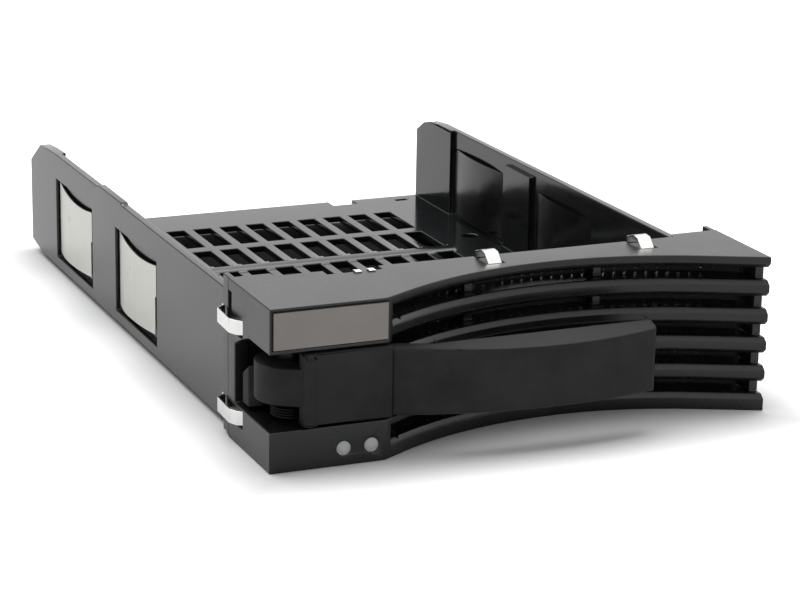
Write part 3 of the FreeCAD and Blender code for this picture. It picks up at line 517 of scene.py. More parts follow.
def round_edges(piece: bpy.types.Object, width: float) -> None:
    """Rounds every sharp edge of a piece and shades it.

    Args:
        piece: The piece.
        width: The bevel's width in metres.
    """
    bevel = piece.modifiers.new("round_edges", "BEVEL")
    bevel.width = width
    bevel.segments = 2
    bevel.limit_method = "ANGLE"
    bevel.angle_limit = math.radians(30.0)
    bevel.use_clamp_overlap = False
    bevel.loop_slide = False
    settle(piece)
    smooth_by_angle(piece.data, 38.0)
    weighted = piece.modifiers.new("flat_faces", "WEIGHTED_NORMAL")
    weighted.keep_sharp = True
    weighted.weight = 100
    settle(piece)


def moulded_copy(
    node: str,
    name: str,
    width: float,
    cutters: Sequence[bpy.types.Object] = (),
    additions: Sequence[bpy.types.Object] = (),
) -> bpy.types.Object:
    """A copy of a CAD node with its sharp edges rounded like a moulding's.

    Args:
        node: The CAD node's name.
        name: The copy's name.
        width: The width of the rounded edges in metres.
        cutters: Solids that are cut away from it.
        additions: Solids that are joined to it first.

    Returns:
        The copy.
    """
    piece = link_piece(name, mesh_from(merged_copy(node, cutters, additions), name))
    round_edges(piece, width)
    return piece


def finish_piece(
    piece: bpy.types.Object, material: bpy.types.Material, nodes: Sequence[str], body: str = CADDY
) -> None:
    """Gives a piece its finish and its place in the frame.

    Args:
        piece: The piece, at rest in the shared frame.
        material: Its finish.
        nodes: The CAD nodes that it stands for.
        body: The CAD body that it rides on.
    """
    piece.data.materials.clear()
    piece.data.materials.append(material)
    for polygon in piece.data.polygons:
        polygon.material_index = 0
    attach(piece, body)
    if nodes:
        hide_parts(*nodes)
    LOG.info("%s: %d faces, rides on %s", piece.name, len(piece.data.polygons), body)


class NodeRecipe(NodeSheet):
    """A geometry node tree that is built in code and then turned into a plain mesh."""

    def __init__(self, name: str) -> None:
        """Starts a tree with one geometry input and one geometry output."""
        super().__init__(bpy.data.node_groups.new(name, "GeometryNodeTree"))
        for way in ("INPUT", "OUTPUT"):
            self.tree.interface.new_socket(name="Geometry", in_out=way, socket_type="NodeSocketGeometry")
        self.come = self.add("NodeGroupInput")
        self.sockets: dict[str, str] = {}

    def size(self, name: str, kind: str = "Float") -> bpy.types.NodeSocket:
        """Adds a named input.

        Args:
            name: The input's name.
            kind: Its type, without the NodeSocket prefix.

        Returns:
            The socket on the group's input node.
        """
        socket = self.tree.interface.new_socket(name=name, in_out="INPUT", socket_type=f"NodeSocket{kind}")
        self.sockets[name] = socket.identifier
        return self.come.outputs[name]

    def close(self, geometry: bpy.types.NodeSocket, material: bpy.types.Material) -> None:
        """Ends the tree in Realize Instances and Set Material.

        Args:
            geometry: What the tree has made.
            material: Its finish.
        """
        real = self.add("GeometryNodeRealizeInstances", {0: geometry})
        paint = self.add("GeometryNodeSetMaterial", {0: real.outputs[0], "Material": material})
        self.add("NodeGroupOutput", {0: paint.outputs[0]})

    def run(self, name: str, sizes: dict[str, object]) -> bpy.types.Object:
        """Runs the tree and turns what it makes into a piece.

        Args:
            name: The piece's name.
            sizes: A value for each named input.

        Returns:
            The piece, a plain mesh object.
        """
        blank = link_piece(name, bpy.data.meshes.new(name))
        modifier = blank.modifiers.new(self.tree.name, "NODES")
        modifier.node_group = self.tree
        for key, value in sizes.items():
            modifier[self.sockets[key]] = value
        mesh = evaluated_mesh(blank)
        bpy.data.objects.remove(blank)
        return link_piece(name, mesh)


# ---------------------------------------------------------------- sub-assemblies, in millimetres


@dataclass
class Tray:
    """The slotted floor and the two side walls, one moulding."""

    finish: MouldedPlastic = MouldedPlastic(
        "tray_black", (0.011, 0.012, 0.0125), roughness=0.14, roughness_spread=0.04, tone_spread=0.15,
        grain_depth=0.000003,
    )
    edge_round: float = 0.00022
    front: float = 20.0
    rear: float = 178.0
    rear_top: float = 22.0
    inside: float = 50.0
    panel: float = 52.2
    beyond: float = 55.0
    above: float = 34.0
    lip_bottom: float = 26.0
    pad_front: float = 153.9
    left_top: float = 29.6
    left_fall: float = 0.2
    land_top: float = 30.1
    land: Pair = (101.0, 118.0)
    ramp: float = 1.0
    left_nose: tuple[Pair, ...] = ((162.0, 29.1), (167.5, 28.6))
    right_top: float = 28.7
    right_nose: tuple[Pair, ...] = ((162.0, 27.35), (168.0, 26.75), (171.5, 25.9))

    def over(self, line: Sequence[Pair]) -> list[Pair]:
        """The outline of all that lies above a line along a wall."""
        return [*line, (line[-1][0], self.above), (line[0][0], self.above)]

    def cutters(self) -> list[bpy.types.Object]:
        """The solids that bring the tops of both walls to their height and the lips to their thickness.

        Returns:
            The solids.
        """
        ahead, behind = self.land
        left_line = [
            (self.front, self.left_top), (ahead - self.ramp, self.left_top), (ahead, self.land_top),
            (behind, self.land_top), (behind + self.ramp, self.left_top),
            (self.pad_front, self.left_top - self.left_fall), *self.left_nose, (self.rear, self.rear_top),
        ]
        right_line = [(self.front, self.right_top), *self.right_nose, (self.rear, self.rear_top)]
        lip_line = [(self.front, self.lip_bottom), (self.pad_front, self.lip_bottom)]
        return [
            prism(self.over(left_line), (-self.beyond, -self.inside)),
            prism(self.over(right_line), (self.inside, self.beyond)),
            prism(self.over(lip_line), (-self.panel, -self.inside)),
            prism(self.over(lip_line), (self.inside, self.panel)),
        ]

    def dress(self) -> None:
        """Builds and finishes the moulding."""
        piece = moulded_copy("tray", "tray_moulding", self.edge_round, cutters=self.cutters())
        finish_piece(piece, self.finish.material(), ["tray"])


@dataclass
class Bezel:
    """The concave front with its block, rim and cheeks, and the web behind the handle's bay."""

    finish: MouldedPlastic = MouldedPlastic(
        "bezel_black", (0.0085, 0.0092, 0.0098), roughness=0.27, tone_spread=0.25, specular=0.45
    )
    edge_round: float = 0.00022
    bay_sides: Pair = (-52.4, -27.2)
    bay_depths: Pair = (20.5, 21.3)
    bay_heights: Pair = (8.2, 24.8)

    def dress(self) -> None:
        """Builds and finishes the moulding and the web that closes the bay just behind the hook."""
        black = self.finish.material()
        front = moulded_copy("bezel", "bezel_moulding", self.edge_round)
        finish_piece(front, black, ["bezel"])
        web = block(self.bay_sides, self.bay_depths, self.bay_heights, "handle_bay_web")
        finish_piece(web, black, [])


@dataclass
class Handle:
    """The swing-out handle."""

    finish: MouldedPlastic = MouldedPlastic(
        "handle_black", (0.0265, 0.0258, 0.0268), roughness=0.6, roughness_spread=0.08, tone_spread=0.45,
        specular=0.14,
    )
    edge_round: float = 0.0003
    back: float = -0.3
    crest: float = 23.55
    brow: float = 21.85
    above: float = 25.0
    fill_heights: Pair = (9.1, 23.5)
    thick_fill: tuple[Pair, float] = ((-17.0, 26.6), -3.0)
    thin_fill: tuple[Pair, float] = ((-20.4, -16.9), -1.6)
    root_sides: Pair = (-48.25, -29.6)
    root_depths: Pair = (-0.25, 2.9)
    rib_sides: Pair = (-47.8, -46.5)
    rib_depths: Pair = (-0.75, -0.2)
    root_heights: Pair = (8.9, 23.75)
    slope_sides: Pair = (-29.1, 28.6)
    slope_depths: Pair = (-8.0, 0.4)

    def additions(self) -> list[bpy.types.Object]:
        """The solids that fill the grip to its straight back and the root to the edges of its bay.

        Returns:
            The solids.
        """
        parts = (self.thick_fill, self.thin_fill)
        fills = [block(sides, (front, self.back), self.fill_heights) for sides, front in parts]
        root = block(self.root_sides, self.root_depths, self.root_heights)
        rib = block(self.rib_sides, self.rib_depths, self.root_heights)
        return [*fills, root, rib]

    def cutters(self) -> list[bpy.types.Object]:
        """The wedge that slopes the top of the grip down to its front.

        Returns:
            The wedge.
        """
        front, rear = self.slope_depths
        wedge = [(front, self.brow), (rear, self.crest), (rear, self.above), (front, self.above)]
        return [prism(wedge, self.slope_sides)]

    def dress(self) -> None:
        """Builds and finishes the moulding."""
        piece = moulded_copy("lever", "handle_moulding", self.edge_round, self.cutters(), self.additions())
        finish_piece(piece, self.finish.material(), ["lever"], HANDLE)


@dataclass
class SmallParts:
    """Pieces whose CAD form is right and which only need soft edges and a finish."""

    label: MouldedPlastic = MouldedPlastic(
        "label_grey", (0.275, 0.256, 0.24), roughness=0.42, roughness_spread=0.04, tone_spread=0.06,
        specular=0.4, grain_scale=1400.0, grain_depth=0.000006,
    )
    clear: MouldedPlastic = MouldedPlastic(
        "clear_pipe", (0.72, 0.735, 0.73), roughness=0.1, roughness_spread=0.04, tone_spread=0.06,
        grain_scale=700.0, grain_depth=0.000006, transmission=0.3, index=1.49,
    )
    pin: StripMetal = StripMetal("pin_steel", (0.6, 0.6, 0.62), along=Axis.Z)
    contact: StripMetal = StripMetal("contact_steel", (0.86, 0.86, 0.84), roughness=0.2)

    def dress(self) -> None:
        """Copies, softens and finishes each of the small pieces."""
        label = moulded_copy("label_plate", "label_blank", 0.00008)
        finish_piece(label, self.label.material(), ["label_plate"])
        pin = moulded_copy("hinge_pin", "hinge_dowel", 0.00005)
        finish_piece(pin, self.pin.material(), ["hinge_pin"])
        strip = self.contact.material()
        names = ["emi_clip_top_middle", "emi_clip_top_right", "contact_tab"]
        names += [f"emi_clip_{side}_{level}" for _, side in SIDES for level in ("upper", "lower")]
        for node in names:
            finish_piece(moulded_copy(node, f"{node}_strip", 0.00006), strip, [node])
        clear = self.clear.material()
        for node in ("light_pipe_left", "light_pipe_right"):
            finish_piece(moulded_copy(node, f"{node}_rod", 0.00005), clear, [node])


@dataclass
class WindowBacks:
    """The backs of the four windows, pushed out a little towards the drive by the springs, in a darker, less
    glossy black that is painted shade for the shadow behind the windows.
    """

    # Painted shade: darker and less glossy than the tray's black, for the shadow behind the windows.
    finish: MouldedPlastic = MouldedPlastic(
        "window_back_black", (0.007, 0.007, 0.0078), roughness=0.2, roughness_spread=0.08, tone_spread=0.3,
        specular=0.32, grain_depth=0.000003,
    )
    first: float = 75.5
    length: float = 29.0
    heights: Pair = (6.2, 23.0)
    panel: float = 52.18
    bulge: float = 1.2
    thick: float = 0.3
    columns: int = 24

    def build(self, name: str, side: int) -> bpy.types.Object:
        """Builds the two backs of one wall.

        Args:
            name: The piece's name.
            side: -1 at the left wall, 1 at the right one.

        Returns:
            The backs, as one piece.
        """
        bm = bmesh.new()
        for start in (self.first, self.first + WINDOW_STEP):
            before = None
            for column in range(self.columns + 1):
                share = column / self.columns
                face = self.panel - self.bulge * 4.0 * share * (1.0 - share)
                along = start + self.length * share
                pair = [bm.verts.new(at(side * face, along, up)) for up in self.heights]
                if before:
                    bm.faces.new((before[0], pair[0], pair[1], before[1]))
                before = pair
        bmesh.ops.recalc_face_normals(bm, faces=bm.faces)
        outward = [face for face in bm.faces if face.normal.x * side > 0]
        bmesh.ops.reverse_faces(bm, faces=outward)
        piece = link_piece(name, mesh_from(bm, name))
        thicken(piece, self.thick)
        return piece

    def dress(self) -> None:
        """Builds and finishes the backs of both walls."""
        black = self.finish.material()
        for side, side_name in SIDES:
            finish_piece(self.build(f"window_backs_{side_name}", side), black, [])


@dataclass
class SpringPlates:
    """The four bowed plates in the windows of the walls, each set back at its rear and dimpled."""

    finish: StripMetal = StripMetal(
        "nickel_plate", (0.6, 0.596, 0.557), roughness=0.36, tone_spread=0.2, line_pitch=2600.0,
        line_length=90.0, along=Axis.Z,
    )
    first: float = 75.0
    front: float = 1.3
    rear: float = 28.6
    face: float = 53.9
    set_back: float = 0.55
    thick: float = 0.3
    peak: float = 21.9
    sag: float = 4.6
    horn: float = 1.0
    foot: float = 4.3
    front_rise: float = 1.9
    rear_rise: float = 1.2
    columns: int = 60
    rows: int = 40
    tab_row: int = 22
    tab_reach: float = 0.8
    dimple: Pair = (20.5, 15.6)
    dimple_depth: float = 0.45
    dimple_radius: float = 0.8

    def height(self, along: float, row: int) -> float:
        """The height of one row of points between the rising lower edge and the sagging upper one.

        Args:
            along: How far behind the window's front edge the point lies.
            row: The row, 0 at the lower edge.

        Returns:
            The height.
        """
        share = (along - self.front) / (self.rear - self.front)
        high = self.peak - self.sag * share * (1.0 - share) + self.horn * share**6
        low = self.foot + self.front_rise * (1.0 - share) ** 2 + self.rear_rise * share**14
        return low + (high - low) * row / self.rows

    def point(self, side: int, start: float, along: float, up: float) -> Vector:
        """A point of the outer face.

        Args:
            side: -1 at the left wall, 1 at the right one.
            start: The window's front edge.
            along: How far behind it the point lies.
            up: Its height.

        Returns:
            The point in the shared frame.
        """
        share = max(0.0, (along - self.front) / (self.rear - self.front))
        face = self.face - self.set_back * share**2
        near = math.hypot(along - self.dimple[0], up - self.dimple[1])
        face -= self.dimple_depth * max(0.0, 1.0 - near / self.dimple_radius)
        return at(side * face, start + along, up)

    def build(self, name: str, side: int, start: float) -> bpy.types.Object:
        """Builds one plate.

        Args:
            name: The piece's name.
            side: -1 at the left wall, 1 at the right one.
            start: The window's front edge.

        Returns:
            The plate.
        """
        bm = bmesh.new()
        grid: list[list] = []
        for column in range(self.columns + 1):
            along = self.front + (self.rear - self.front) * column / self.columns
            heights = [self.height(along, row) for row in range(self.rows + 1)]
            grid.append([bm.verts.new(self.point(side, start, along, up)) for up in heights])
        tab: list = [None] * self.tab_row
        for row in range(self.tab_row, self.rows + 1):
            up = self.height(self.front, row)
            tab.append(bm.verts.new(self.point(side, start, self.front - self.tab_reach, up)))
        columns = [tab] + grid
        for before, after in zip(columns, columns[1:]):
            for row in range(self.rows):
                corners = (before[row], after[row], after[row + 1], before[row + 1])
                if all(corners):
                    bm.faces.new(corners)
        bmesh.ops.recalc_face_normals(bm, faces=bm.faces)
        bm.faces.ensure_lookup_table()
        if bm.faces[0].normal.x * side < 0:
            bmesh.ops.reverse_faces(bm, faces=bm.faces)
        piece = link_piece(name, mesh_from(bm, name))
        thicken(piece, self.thick)
        return piece

    def dress(self) -> None:
        """Builds and finishes the four plates."""
        metal = self.finish.material()
        for side, side_name in SIDES:
            for number, place in enumerate(("front", "rear")):
                node = f"side_spring_{side_name}_{place}"
                plate = self.build(f"{node}_plate", side, self.first + number * WINDOW_STEP)
                finish_piece(plate, metal, [node])


@dataclass
class CoilSpring:
    """The torsion spring round the lower hinge boss, wound by a rule."""

    # Painted shade: the wire is near black, for the dark recess under the handle's knuckle that it sits in.
    finish: StripMetal = StripMetal("spring_wire", (0.016, 0.016, 0.017), roughness=0.5)
    centre: Triple = (-48.0, 9.0, 8.95)
    coil_radius: float = 3.5
    wire_radius: float = 0.3
    rise: float = 2.2
    turns: float = 4.0

    def recipe(self, material: bpy.types.Material) -> NodeRecipe:
        """The node tree that winds the wire.

        Args:
            material: Its finish.

        Returns:
            The tree.
        """
        recipe = NodeRecipe("wound_spring")
        radius = recipe.size("Coil Radius")
        coil = {
            "Resolution": 28, "Start Radius": radius, "End Radius": radius, "Height": recipe.size("Rise"),
            "Rotations": recipe.size("Turns"),
        }
        spiral = recipe.add("GeometryNodeCurveSpiral", coil)
        wire = {"Resolution": 10, "Radius": recipe.size("Wire Radius")}
        ring = recipe.add("GeometryNodeCurvePrimitiveCircle", wire)
        swept = {"Fill Caps": True, "Curve": spiral.outputs["Curve"], "Profile Curve": ring.outputs["Curve"]}
        sweep = recipe.add("GeometryNodeCurveToMesh", swept)
        moved = {"Geometry": sweep.outputs["Mesh"], "Translation": recipe.size("Centre", "Vector")}
        recipe.close(recipe.add("GeometryNodeTransform", moved).outputs["Geometry"], material)
        return recipe

    def dress(self) -> None:
        """Winds and finishes the spring."""
        material = self.finish.material()
        sizes = {
            "Coil Radius": self.coil_radius * MM,
            "Wire Radius": self.wire_radius * MM,
            "Rise": self.rise * MM,
            "Turns": self.turns,
            "Centre": at(*self.centre),
        }
        piece = self.recipe(material).run("handle_spring_wire", sizes)
        smooth_by_angle(piece.data, 50.0)
        finish_piece(piece, material, ["lever_spring"])


@dataclass
class Screen:
    """The perforated screen behind the louvres: one tile repeated over the arc of the front."""

    # Painted shade: near black and not metallic, standing for the shadow behind the louvres.
    finish: StripMetal = StripMetal(
        "screen_coated", (0.006, 0.006, 0.0065), roughness=0.7, tone_spread=0.2, metallic=0.0
    )
    arc_middle: float = 11.5
    arc_radius: float = 74.0
    arc_depth: float = 13.1
    offset: float = 7.45
    tile: float = 2.3
    hole: float = 0.22
    thick: float = 0.35
    sides: Pair = (-26.6, 53.1)
    heights: Pair = (2.2, 30.2)
    corners: int = 12
    seam: float = 0.05

    def tile_mesh(self) -> bpy.types.Object:
        """One square tile with a round hole through it, in its own XZ plane.

        Returns:
            The tile.
        """
        bm = bmesh.new()
        half = self.tile / 2 * MM
        rims: list[tuple[list, list]] = []
        for depth in (-self.thick / 2 * MM, self.thick / 2 * MM):
            outer, inner = [], []
            for step in range(self.corners):
                angle = math.radians(360 / self.corners * step + 15)
                turn = Vector((math.cos(angle), 0.0, math.sin(angle)))
                level = Vector((0.0, depth, 0.0))
                reach = half / max(abs(turn.x), abs(turn.z))
                outer.append(bm.verts.new(turn * reach + level))
                inner.append(bm.verts.new(turn * self.hole * MM + level))
            rims.append((outer, inner))
        for step in range(self.corners):
            after = (step + 1) % self.corners
            for outer, inner in rims:
                bm.faces.new((outer[step], outer[after], inner[after], inner[step]))
            front, rear = rims[0][1], rims[1][1]
            bm.faces.new((front[step], front[after], rear[after], rear[step]))
        bmesh.ops.recalc_face_normals(bm, faces=bm.faces)
        return link_piece("screen_tile", mesh_from(bm, "screen_tile"))

    def recipe(self, material: bpy.types.Material, tile: bpy.types.Object) -> NodeRecipe:
        """The node tree that lays the tiles in rows along the arc.

        Args:
            material: The screen's finish.
            tile: The tile.

        Returns:
            The tree.
        """
        recipe = NodeRecipe("perforated_screen")
        radius = recipe.size("Radius")
        columns = recipe.size("Columns", "Int")
        count = recipe.math("MULTIPLY", columns, recipe.size("Rows", "Int"))
        index = recipe.add("GeometryNodeInputIndex").outputs[0]
        row = recipe.math("FLOOR", recipe.math("DIVIDE", index, columns))
        column = recipe.math("SUBTRACT", index, recipe.math("MULTIPLY", row, columns))
        turned = recipe.math("MULTIPLY", column, recipe.size("Step Angle"))
        angle = recipe.math("ADD", recipe.size("Start Angle"), turned)
        across = recipe.math("MULTIPLY", radius, recipe.math("SINE", angle))
        along = recipe.math("MULTIPLY", radius, recipe.math("COSINE", angle))
        up = recipe.math("MULTIPLY", row, recipe.size("Row Pitch"))
        place = recipe.vector("ADD", recipe.join_xyz(across, along, up), recipe.size("Centre", "Vector"))
        points = recipe.add("GeometryNodePoints", {"Count": count}).outputs[0]
        placed = recipe.add("GeometryNodeSetPosition", {"Geometry": points, "Position": place}).outputs[0]
        source = recipe.add("GeometryNodeObjectInfo", {"Object": tile}).outputs["Geometry"]
        turn = recipe.join_xyz(0.0, 0.0, recipe.math("MULTIPLY", angle, -1.0))
        laid = {"Points": placed, "Instance": source, "Rotation": turn}
        recipe.close(recipe.add("GeometryNodeInstanceOnPoints", laid).outputs[0], material)
        return recipe

    def close_seams(self, mesh: bpy.types.Mesh) -> None:
        """Joins the tiles where they meet and closes the screen's outer edge.

        Args:
            mesh: The laid tiles.
        """
        bm = bmesh.new()
        bm.from_mesh(mesh)
        bmesh.ops.remove_doubles(bm, verts=bm.verts, dist=self.seam * MM)
        bmesh.ops.bridge_loops(bm, edges=[edge for edge in bm.edges if edge.is_boundary])
        bmesh.ops.recalc_face_normals(bm, faces=bm.faces)
        LOG.info("screen: %d open edges left", sum(edge.is_boundary for edge in bm.edges))
        bm.to_mesh(mesh)
        bm.free()

    def dress(self) -> None:
        """Lays, closes and finishes the screen."""
        material = self.finish.material()
        tile = self.tile_mesh()
        radius = self.arc_radius + self.offset
        left, right = self.sides
        start = math.asin((left + self.tile / 2 - self.arc_middle) / radius)
        end = math.asin((right - self.tile / 2 - self.arc_middle) / radius)
        columns = round((end - start) * radius / self.tile) + 1
        bottom, top = self.heights
        rows = int((top - bottom) / self.tile)
        pitch = (top - bottom) / rows
        sizes = {
            "Radius": radius * MM,
            "Centre": at(self.arc_middle, self.arc_depth - self.arc_radius, bottom + pitch / 2),
            "Start Angle": start,
            "Step Angle": (end - start) / (columns - 1),
            "Row Pitch": pitch * MM,
            "Columns": columns,
            "Rows": rows,
        }
        piece = self.recipe(material, tile).run("louvre_screen", sizes)
        bpy.data.objects.remove(tile)
        self.close_seams(piece.data)
        finish_piece(piece, material, ["emi_shield"])


@dataclass
class Screws:
    """The two countersunk screws under the bezel, one head and shank repeated."""

    finish: StripMetal = StripMetal("screw_zinc", (0.32, 0.32, 0.34), roughness=0.3)
    spacing: float = 56.0
    count: int = 2
    along: float = 24.3
    head_radius: float = 2.2
    shank_radius: float = 1.1
    length: float = 7.5
    cross: Triple = (2.6, 0.5, 0.7)
    facets: int = 32

    def screw_mesh(self) -> bpy.types.Object:
        """One screw with a crossed recess, head down, turned about its own Z axis.

        Returns:
            The screw.
        """
        head, shank = self.head_radius, self.shank_radius
        profile = [
            (head - 0.25, 0.05), (head, 0.2), (head, 0.45), (head - 0.3, 0.62), (shank, 0.66),
            (shank, self.length - 0.4), (shank - 0.4, self.length),
        ]
        bm = bmesh.new()
        rings = []
        for radius, up in profile:
            turns = [math.tau * step / self.facets for step in range(self.facets)]
            places = [(radius * math.cos(turn) * MM, radius * math.sin(turn) * MM, up * MM) for turn in turns]
            rings.append([bm.verts.new(place) for place in places])
        for low, high in zip(rings, rings[1:]):
            for step in range(self.facets):
                after = (step + 1) % self.facets
                bm.faces.new((low[step], low[after], high[after], high[step]))
        bm.faces.new(list(reversed(rings[0])))
        bm.faces.new(rings[-1])
        bmesh.ops.recalc_face_normals(bm, faces=bm.faces)
        screw = link_piece("screw_blank", mesh_from(bm, "screw_blank"))
        for turn in (0.0, math.pi / 2):
            slot = bmesh.new()
            bmesh.ops.create_cube(slot, size=1.0)
            bmesh.ops.scale(slot, vec=Vector(self.cross) * MM, verts=slot.verts)
            bmesh.ops.rotate(slot, matrix=Matrix.Rotation(turn, 3, "Z"), verts=slot.verts)
            combine(screw, link_piece("slot_cutter", mesh_from(slot, "slot_cutter")), "DIFFERENCE")
        return screw

    def recipe(self, material: bpy.types.Material, screw: bpy.types.Object) -> NodeRecipe:
        """The node tree that sets the screws in a row.

        Args:
            material: Their finish.
            screw: The screw that is repeated.

        Returns:
            The tree.
        """
        recipe = NodeRecipe("screw_row")
        step = recipe.join_xyz(recipe.size("Spacing"), 0.0, 0.0)
        line = {
            "Count": recipe.size("Count", "Int"), "Start Location": recipe.size("First", "Vector"),
            "Offset": step,
        }
        row = recipe.add("GeometryNodeMeshLine", line, mode="OFFSET").outputs[0]
        source = recipe.add("GeometryNodeObjectInfo", {"Object": screw}).outputs["Geometry"]
        laid = recipe.add("GeometryNodeInstanceOnPoints", {"Points": row, "Instance": source})
        recipe.close(laid.outputs[0], material)
        return recipe

    def dress(self) -> None:
        """Sets and finishes the screws."""
        material = self.finish.material()
        screw = self.screw_mesh()
        first = at(-self.spacing / 2, self.along, 0.0)
        sizes = {"Spacing": self.spacing * MM, "Count": self.count, "First": first}
        piece = self.recipe(material, screw).run("bezel_screw_row", sizes)
        bpy.data.objects.remove(screw)
        smooth_by_angle(piece.data, 35.0)
        finish_piece(piece, material, ["bezel_screws"])


# ---------------------------------------------------------------- studio, in metres


@dataclass(frozen=True)
class Oblong:
    """An oblong on the floor, and a value that changes with the distance past its edge."""

    half: Pair
    middle: float
    span: Pair
    share: Pair

    def mask(self, sheet: NodeSheet) -> bpy.types.NodeSocket:
        """Adds the nodes that work the value out.

        Args:
            sheet: The floor's material.

        Returns:
            The socket of the value.
        """
        place = sheet.add("ShaderNodeTexCoord").outputs["Object"]
        centred = sheet.vector("SUBTRACT", place, (0.0, self.middle, 0.0))
        past = sheet.vector("SUBTRACT", sheet.vector("ABSOLUTE", centred), (*self.half, 0.0))
        parts = sheet.add("ShaderNodeSeparateXYZ", {0: past}).outputs
        furthest = sheet.math("MAXIMUM", parts["X"], parts["Y"])
        return sheet.mapped(furthest, self.span, self.share, "SMOOTHSTEP")


@dataclass(frozen=True)
class Softbox:
    """One square soft light: its place, the point it faces, its edge and its power in watts."""

    name: str
    place: Triple
    aim: Triple
    size: float
    power: float

    def hang(self) -> None:
        """Puts the light in the scene."""
        lamp = bpy.data.lights.new(self.name, "AREA")
        lamp.shape = "SQUARE"
        lamp.size = self.size
        lamp.energy = self.power
        holder = bpy.data.objects.new(self.name, lamp)
        bpy.context.scene.collection.objects.link(holder)
        holder.location = self.place
        towards = Vector(self.aim) - Vector(self.place)
        holder.rotation_euler = towards.to_track_quat("-Z", "Y").to_euler()


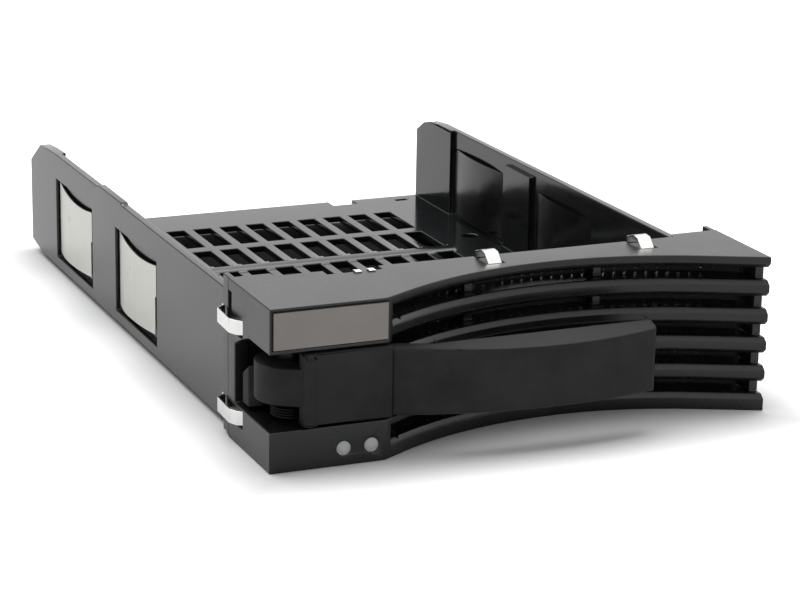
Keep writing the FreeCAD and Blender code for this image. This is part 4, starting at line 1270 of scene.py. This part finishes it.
@dataclass
class Studio:
    """The floor, the soft lights, the world and the camera."""

    floor_colour: Triple = (0.9, 0.9, 0.905)
    floor_size: float = 8.0
    # Painted shade: under the tray the floor's colour falls to 0.02 of itself, and the camera-only glow is
    # cut off there.
    painted_shade_under_tray: Oblong = Oblong((0.0515, 0.0785), 0.0125, (-0.003, 0.0), (0.02, 1.0))
    # Painted light: a glow that only the camera sees, none near the tray and rising away from it, so the
    # floor shows white there and darker round the tray.
    painted_floor_glow: Oblong = Oblong((0.0555, 0.088), 0.0, (-0.004, 0.024), (0.0, 0.66))
    # Painted shadow: the floor's colour falls to 0.4 of itself inside the tray's outline and comes back to
    # full 2 mm past its edge, a painted contact shadow.
    contact: Oblong = Oblong((0.0555, 0.088), 0.0, (-0.016, 0.002), (0.4, 1.0))
    lights: tuple[Softbox, ...] = (
        Softbox("soft_top", (-0.1, 0.4, 1.1), (0.0, 0.0, 0.015), 1.5, 16.0),
        Softbox("soft_right", (0.7, 0.3, 0.7), (0.1, 0.05, 0.0), 0.7, 1.5),
    )
    ambient: float = 0.32
    surroundings: float = 1.12
    corner_bearing: float = -26.0
    corner_height: float = 15.0
    corner_edge: Pair = (20.0, 12.0)
    corner_share: float = 0.06
    # The camera's aim and distance are in millimetres from the bezel's face.
    target: Triple = (-4.58, 55.4, 15.0)
    distance: float = 585.0
    yaw: float = 23.29
    pitch: float = 16.5
    roll: float = 1.03
    sensor: float = 36.0
    focal_length: float = 120.375

    def floor(self) -> None:
        """Lays the pale floor, with painted shade under the tray, a painted contact shadow round it, and a
        camera-only glow that paints it white away from the tray.
        """
        bm = bmesh.new()
        bmesh.ops.create_grid(bm, x_segments=1, y_segments=1, size=self.floor_size / 2)
        ground = link_piece("studio_floor", mesh_from(bm, "studio_floor"))
        sheet = FinishSheet("floor_white")
        # painted shade under the tray, as a mask that is 1 on the open floor
        open_floor = self.painted_shade_under_tray.mask(sheet)
        camera_ray = sheet.add("ShaderNodeLightPath").outputs["Is Camera Ray"]
        # the painted glow shows only to the camera and only on the open floor
        seen = sheet.math("MULTIPLY", camera_ray, open_floor)
        # shade: the painted shade under the tray times the painted contact shadow, multiplied into the
        # floor's colour
        shade = sheet.math("MULTIPLY", open_floor, self.contact.mask(sheet))
        sheet.set(
            {
                "Base Color": sheet.toned(self.floor_colour, shade),
                "Roughness": 0.9,
                "Specular IOR Level": 0.1,
                "Emission Color": (1.0, 1.0, 1.0, 1.0),
                "Emission Strength": sheet.math("MULTIPLY", seen, self.painted_floor_glow.mask(sheet)),
            }
        )
        ground.data.materials.append(sheet.material)

    def dim_corner(self, sheet: NodeSheet) -> bpy.types.NodeSocket:
        """The share of light that comes from a dim corner of the room, 1 in every other direction.

        Args:
            sheet: The world's nodes.

        Returns:
            The socket of the share.
        """
        bearing, height = math.radians(self.corner_bearing), math.radians(self.corner_height)
        level = math.cos(height)
        corner = (math.sin(bearing) * level, math.cos(bearing) * level, math.sin(height))
        direction = sheet.add("ShaderNodeTexCoord").outputs["Generated"]
        near = sheet.add("ShaderNodeVectorMath", {0: direction, 1: corner}, operation="DOT_PRODUCT")
        outer, inner = (math.cos(math.radians(angle)) for angle in self.corner_edge)
        return sheet.mapped(near.outputs["Value"], (outer, inner), (1.0, self.corner_share))

    def world(self) -> None:
        """Surrounds the object with even white, dimmer for the light that it casts than for what is seen.

        Only what a surface mirrors has the dim corner.
        """
        world = bpy.data.worlds.new("studio")
        bpy.context.scene.world = world
        world.use_nodes = True
        sheet = NodeSheet(world.node_tree)
        path = sheet.add("ShaderNodeLightPath").outputs
        seen = sheet.math("MAXIMUM", path["Is Camera Ray"], path["Is Glossy Ray"])
        seen = sheet.math("MAXIMUM", seen, path["Is Transmission Ray"])
        strength = sheet.mapped(seen, (0.0, 1.0), (self.ambient, self.surroundings))
        mirrored = {"Factor": path["Is Glossy Ray"], "A": 1.0, "B": self.dim_corner(sheet)}
        share = sheet.add("ShaderNodeMix", mirrored).outputs["Result"]
        backdrop = sheet.tree.nodes["Background"]
        sheet.feed(backdrop.inputs["Color"], (1.0, 1.0, 1.0, 1.0))
        sheet.feed(backdrop.inputs["Strength"], sheet.math("MULTIPLY", strength, share))

    def camera(self) -> None:
        """Sets the camera in front of the object, to the left and a little above."""
        yaw, pitch, roll = (math.radians(angle) for angle in (self.yaw, self.pitch, self.roll))
        forward = Vector((math.sin(yaw) * math.cos(pitch), math.cos(yaw) * math.cos(pitch), -math.sin(pitch)))
        level = Vector((math.cos(yaw), -math.sin(yaw), 0.0))
        above = level.cross(forward)
        right = level * math.cos(roll) + above * math.sin(roll)
        upward = above * math.cos(roll) - level * math.sin(roll)
        lens = bpy.data.cameras.new("front_left")
        lens.sensor_width = self.sensor
        lens.lens = self.focal_length
        lens.clip_start = 0.02
        holder = bpy.data.objects.new("front_left", lens)
        bpy.context.scene.collection.objects.link(holder)
        turn = Matrix((right, upward, -forward)).transposed().to_4x4()
        holder.matrix_world = Matrix.Translation(at(*self.target) - forward * self.distance * MM) @ turn
        bpy.context.scene.camera = holder

    def dress(self) -> None:
        """Builds the whole studio."""
        self.floor()
        self.world()
        for light in self.lights:
            light.hang()
        self.camera()
        bpy.context.scene.view_settings.view_transform = "Standard"


def main() -> None:
    """Builds the sub-assemblies in order."""
    logging.basicConfig(level=logging.INFO, format="%(message)s")
    parts = (
        Tray(), Bezel(), Handle(), SmallParts(), WindowBacks(), SpringPlates(), CoilSpring(), Screen(),
        Screws(), Studio(),
    )
    for part in parts:
        part.dress()
        LOG.info("%s dressed", type(part).__name__)


if __name__ == "__main__":
    main()
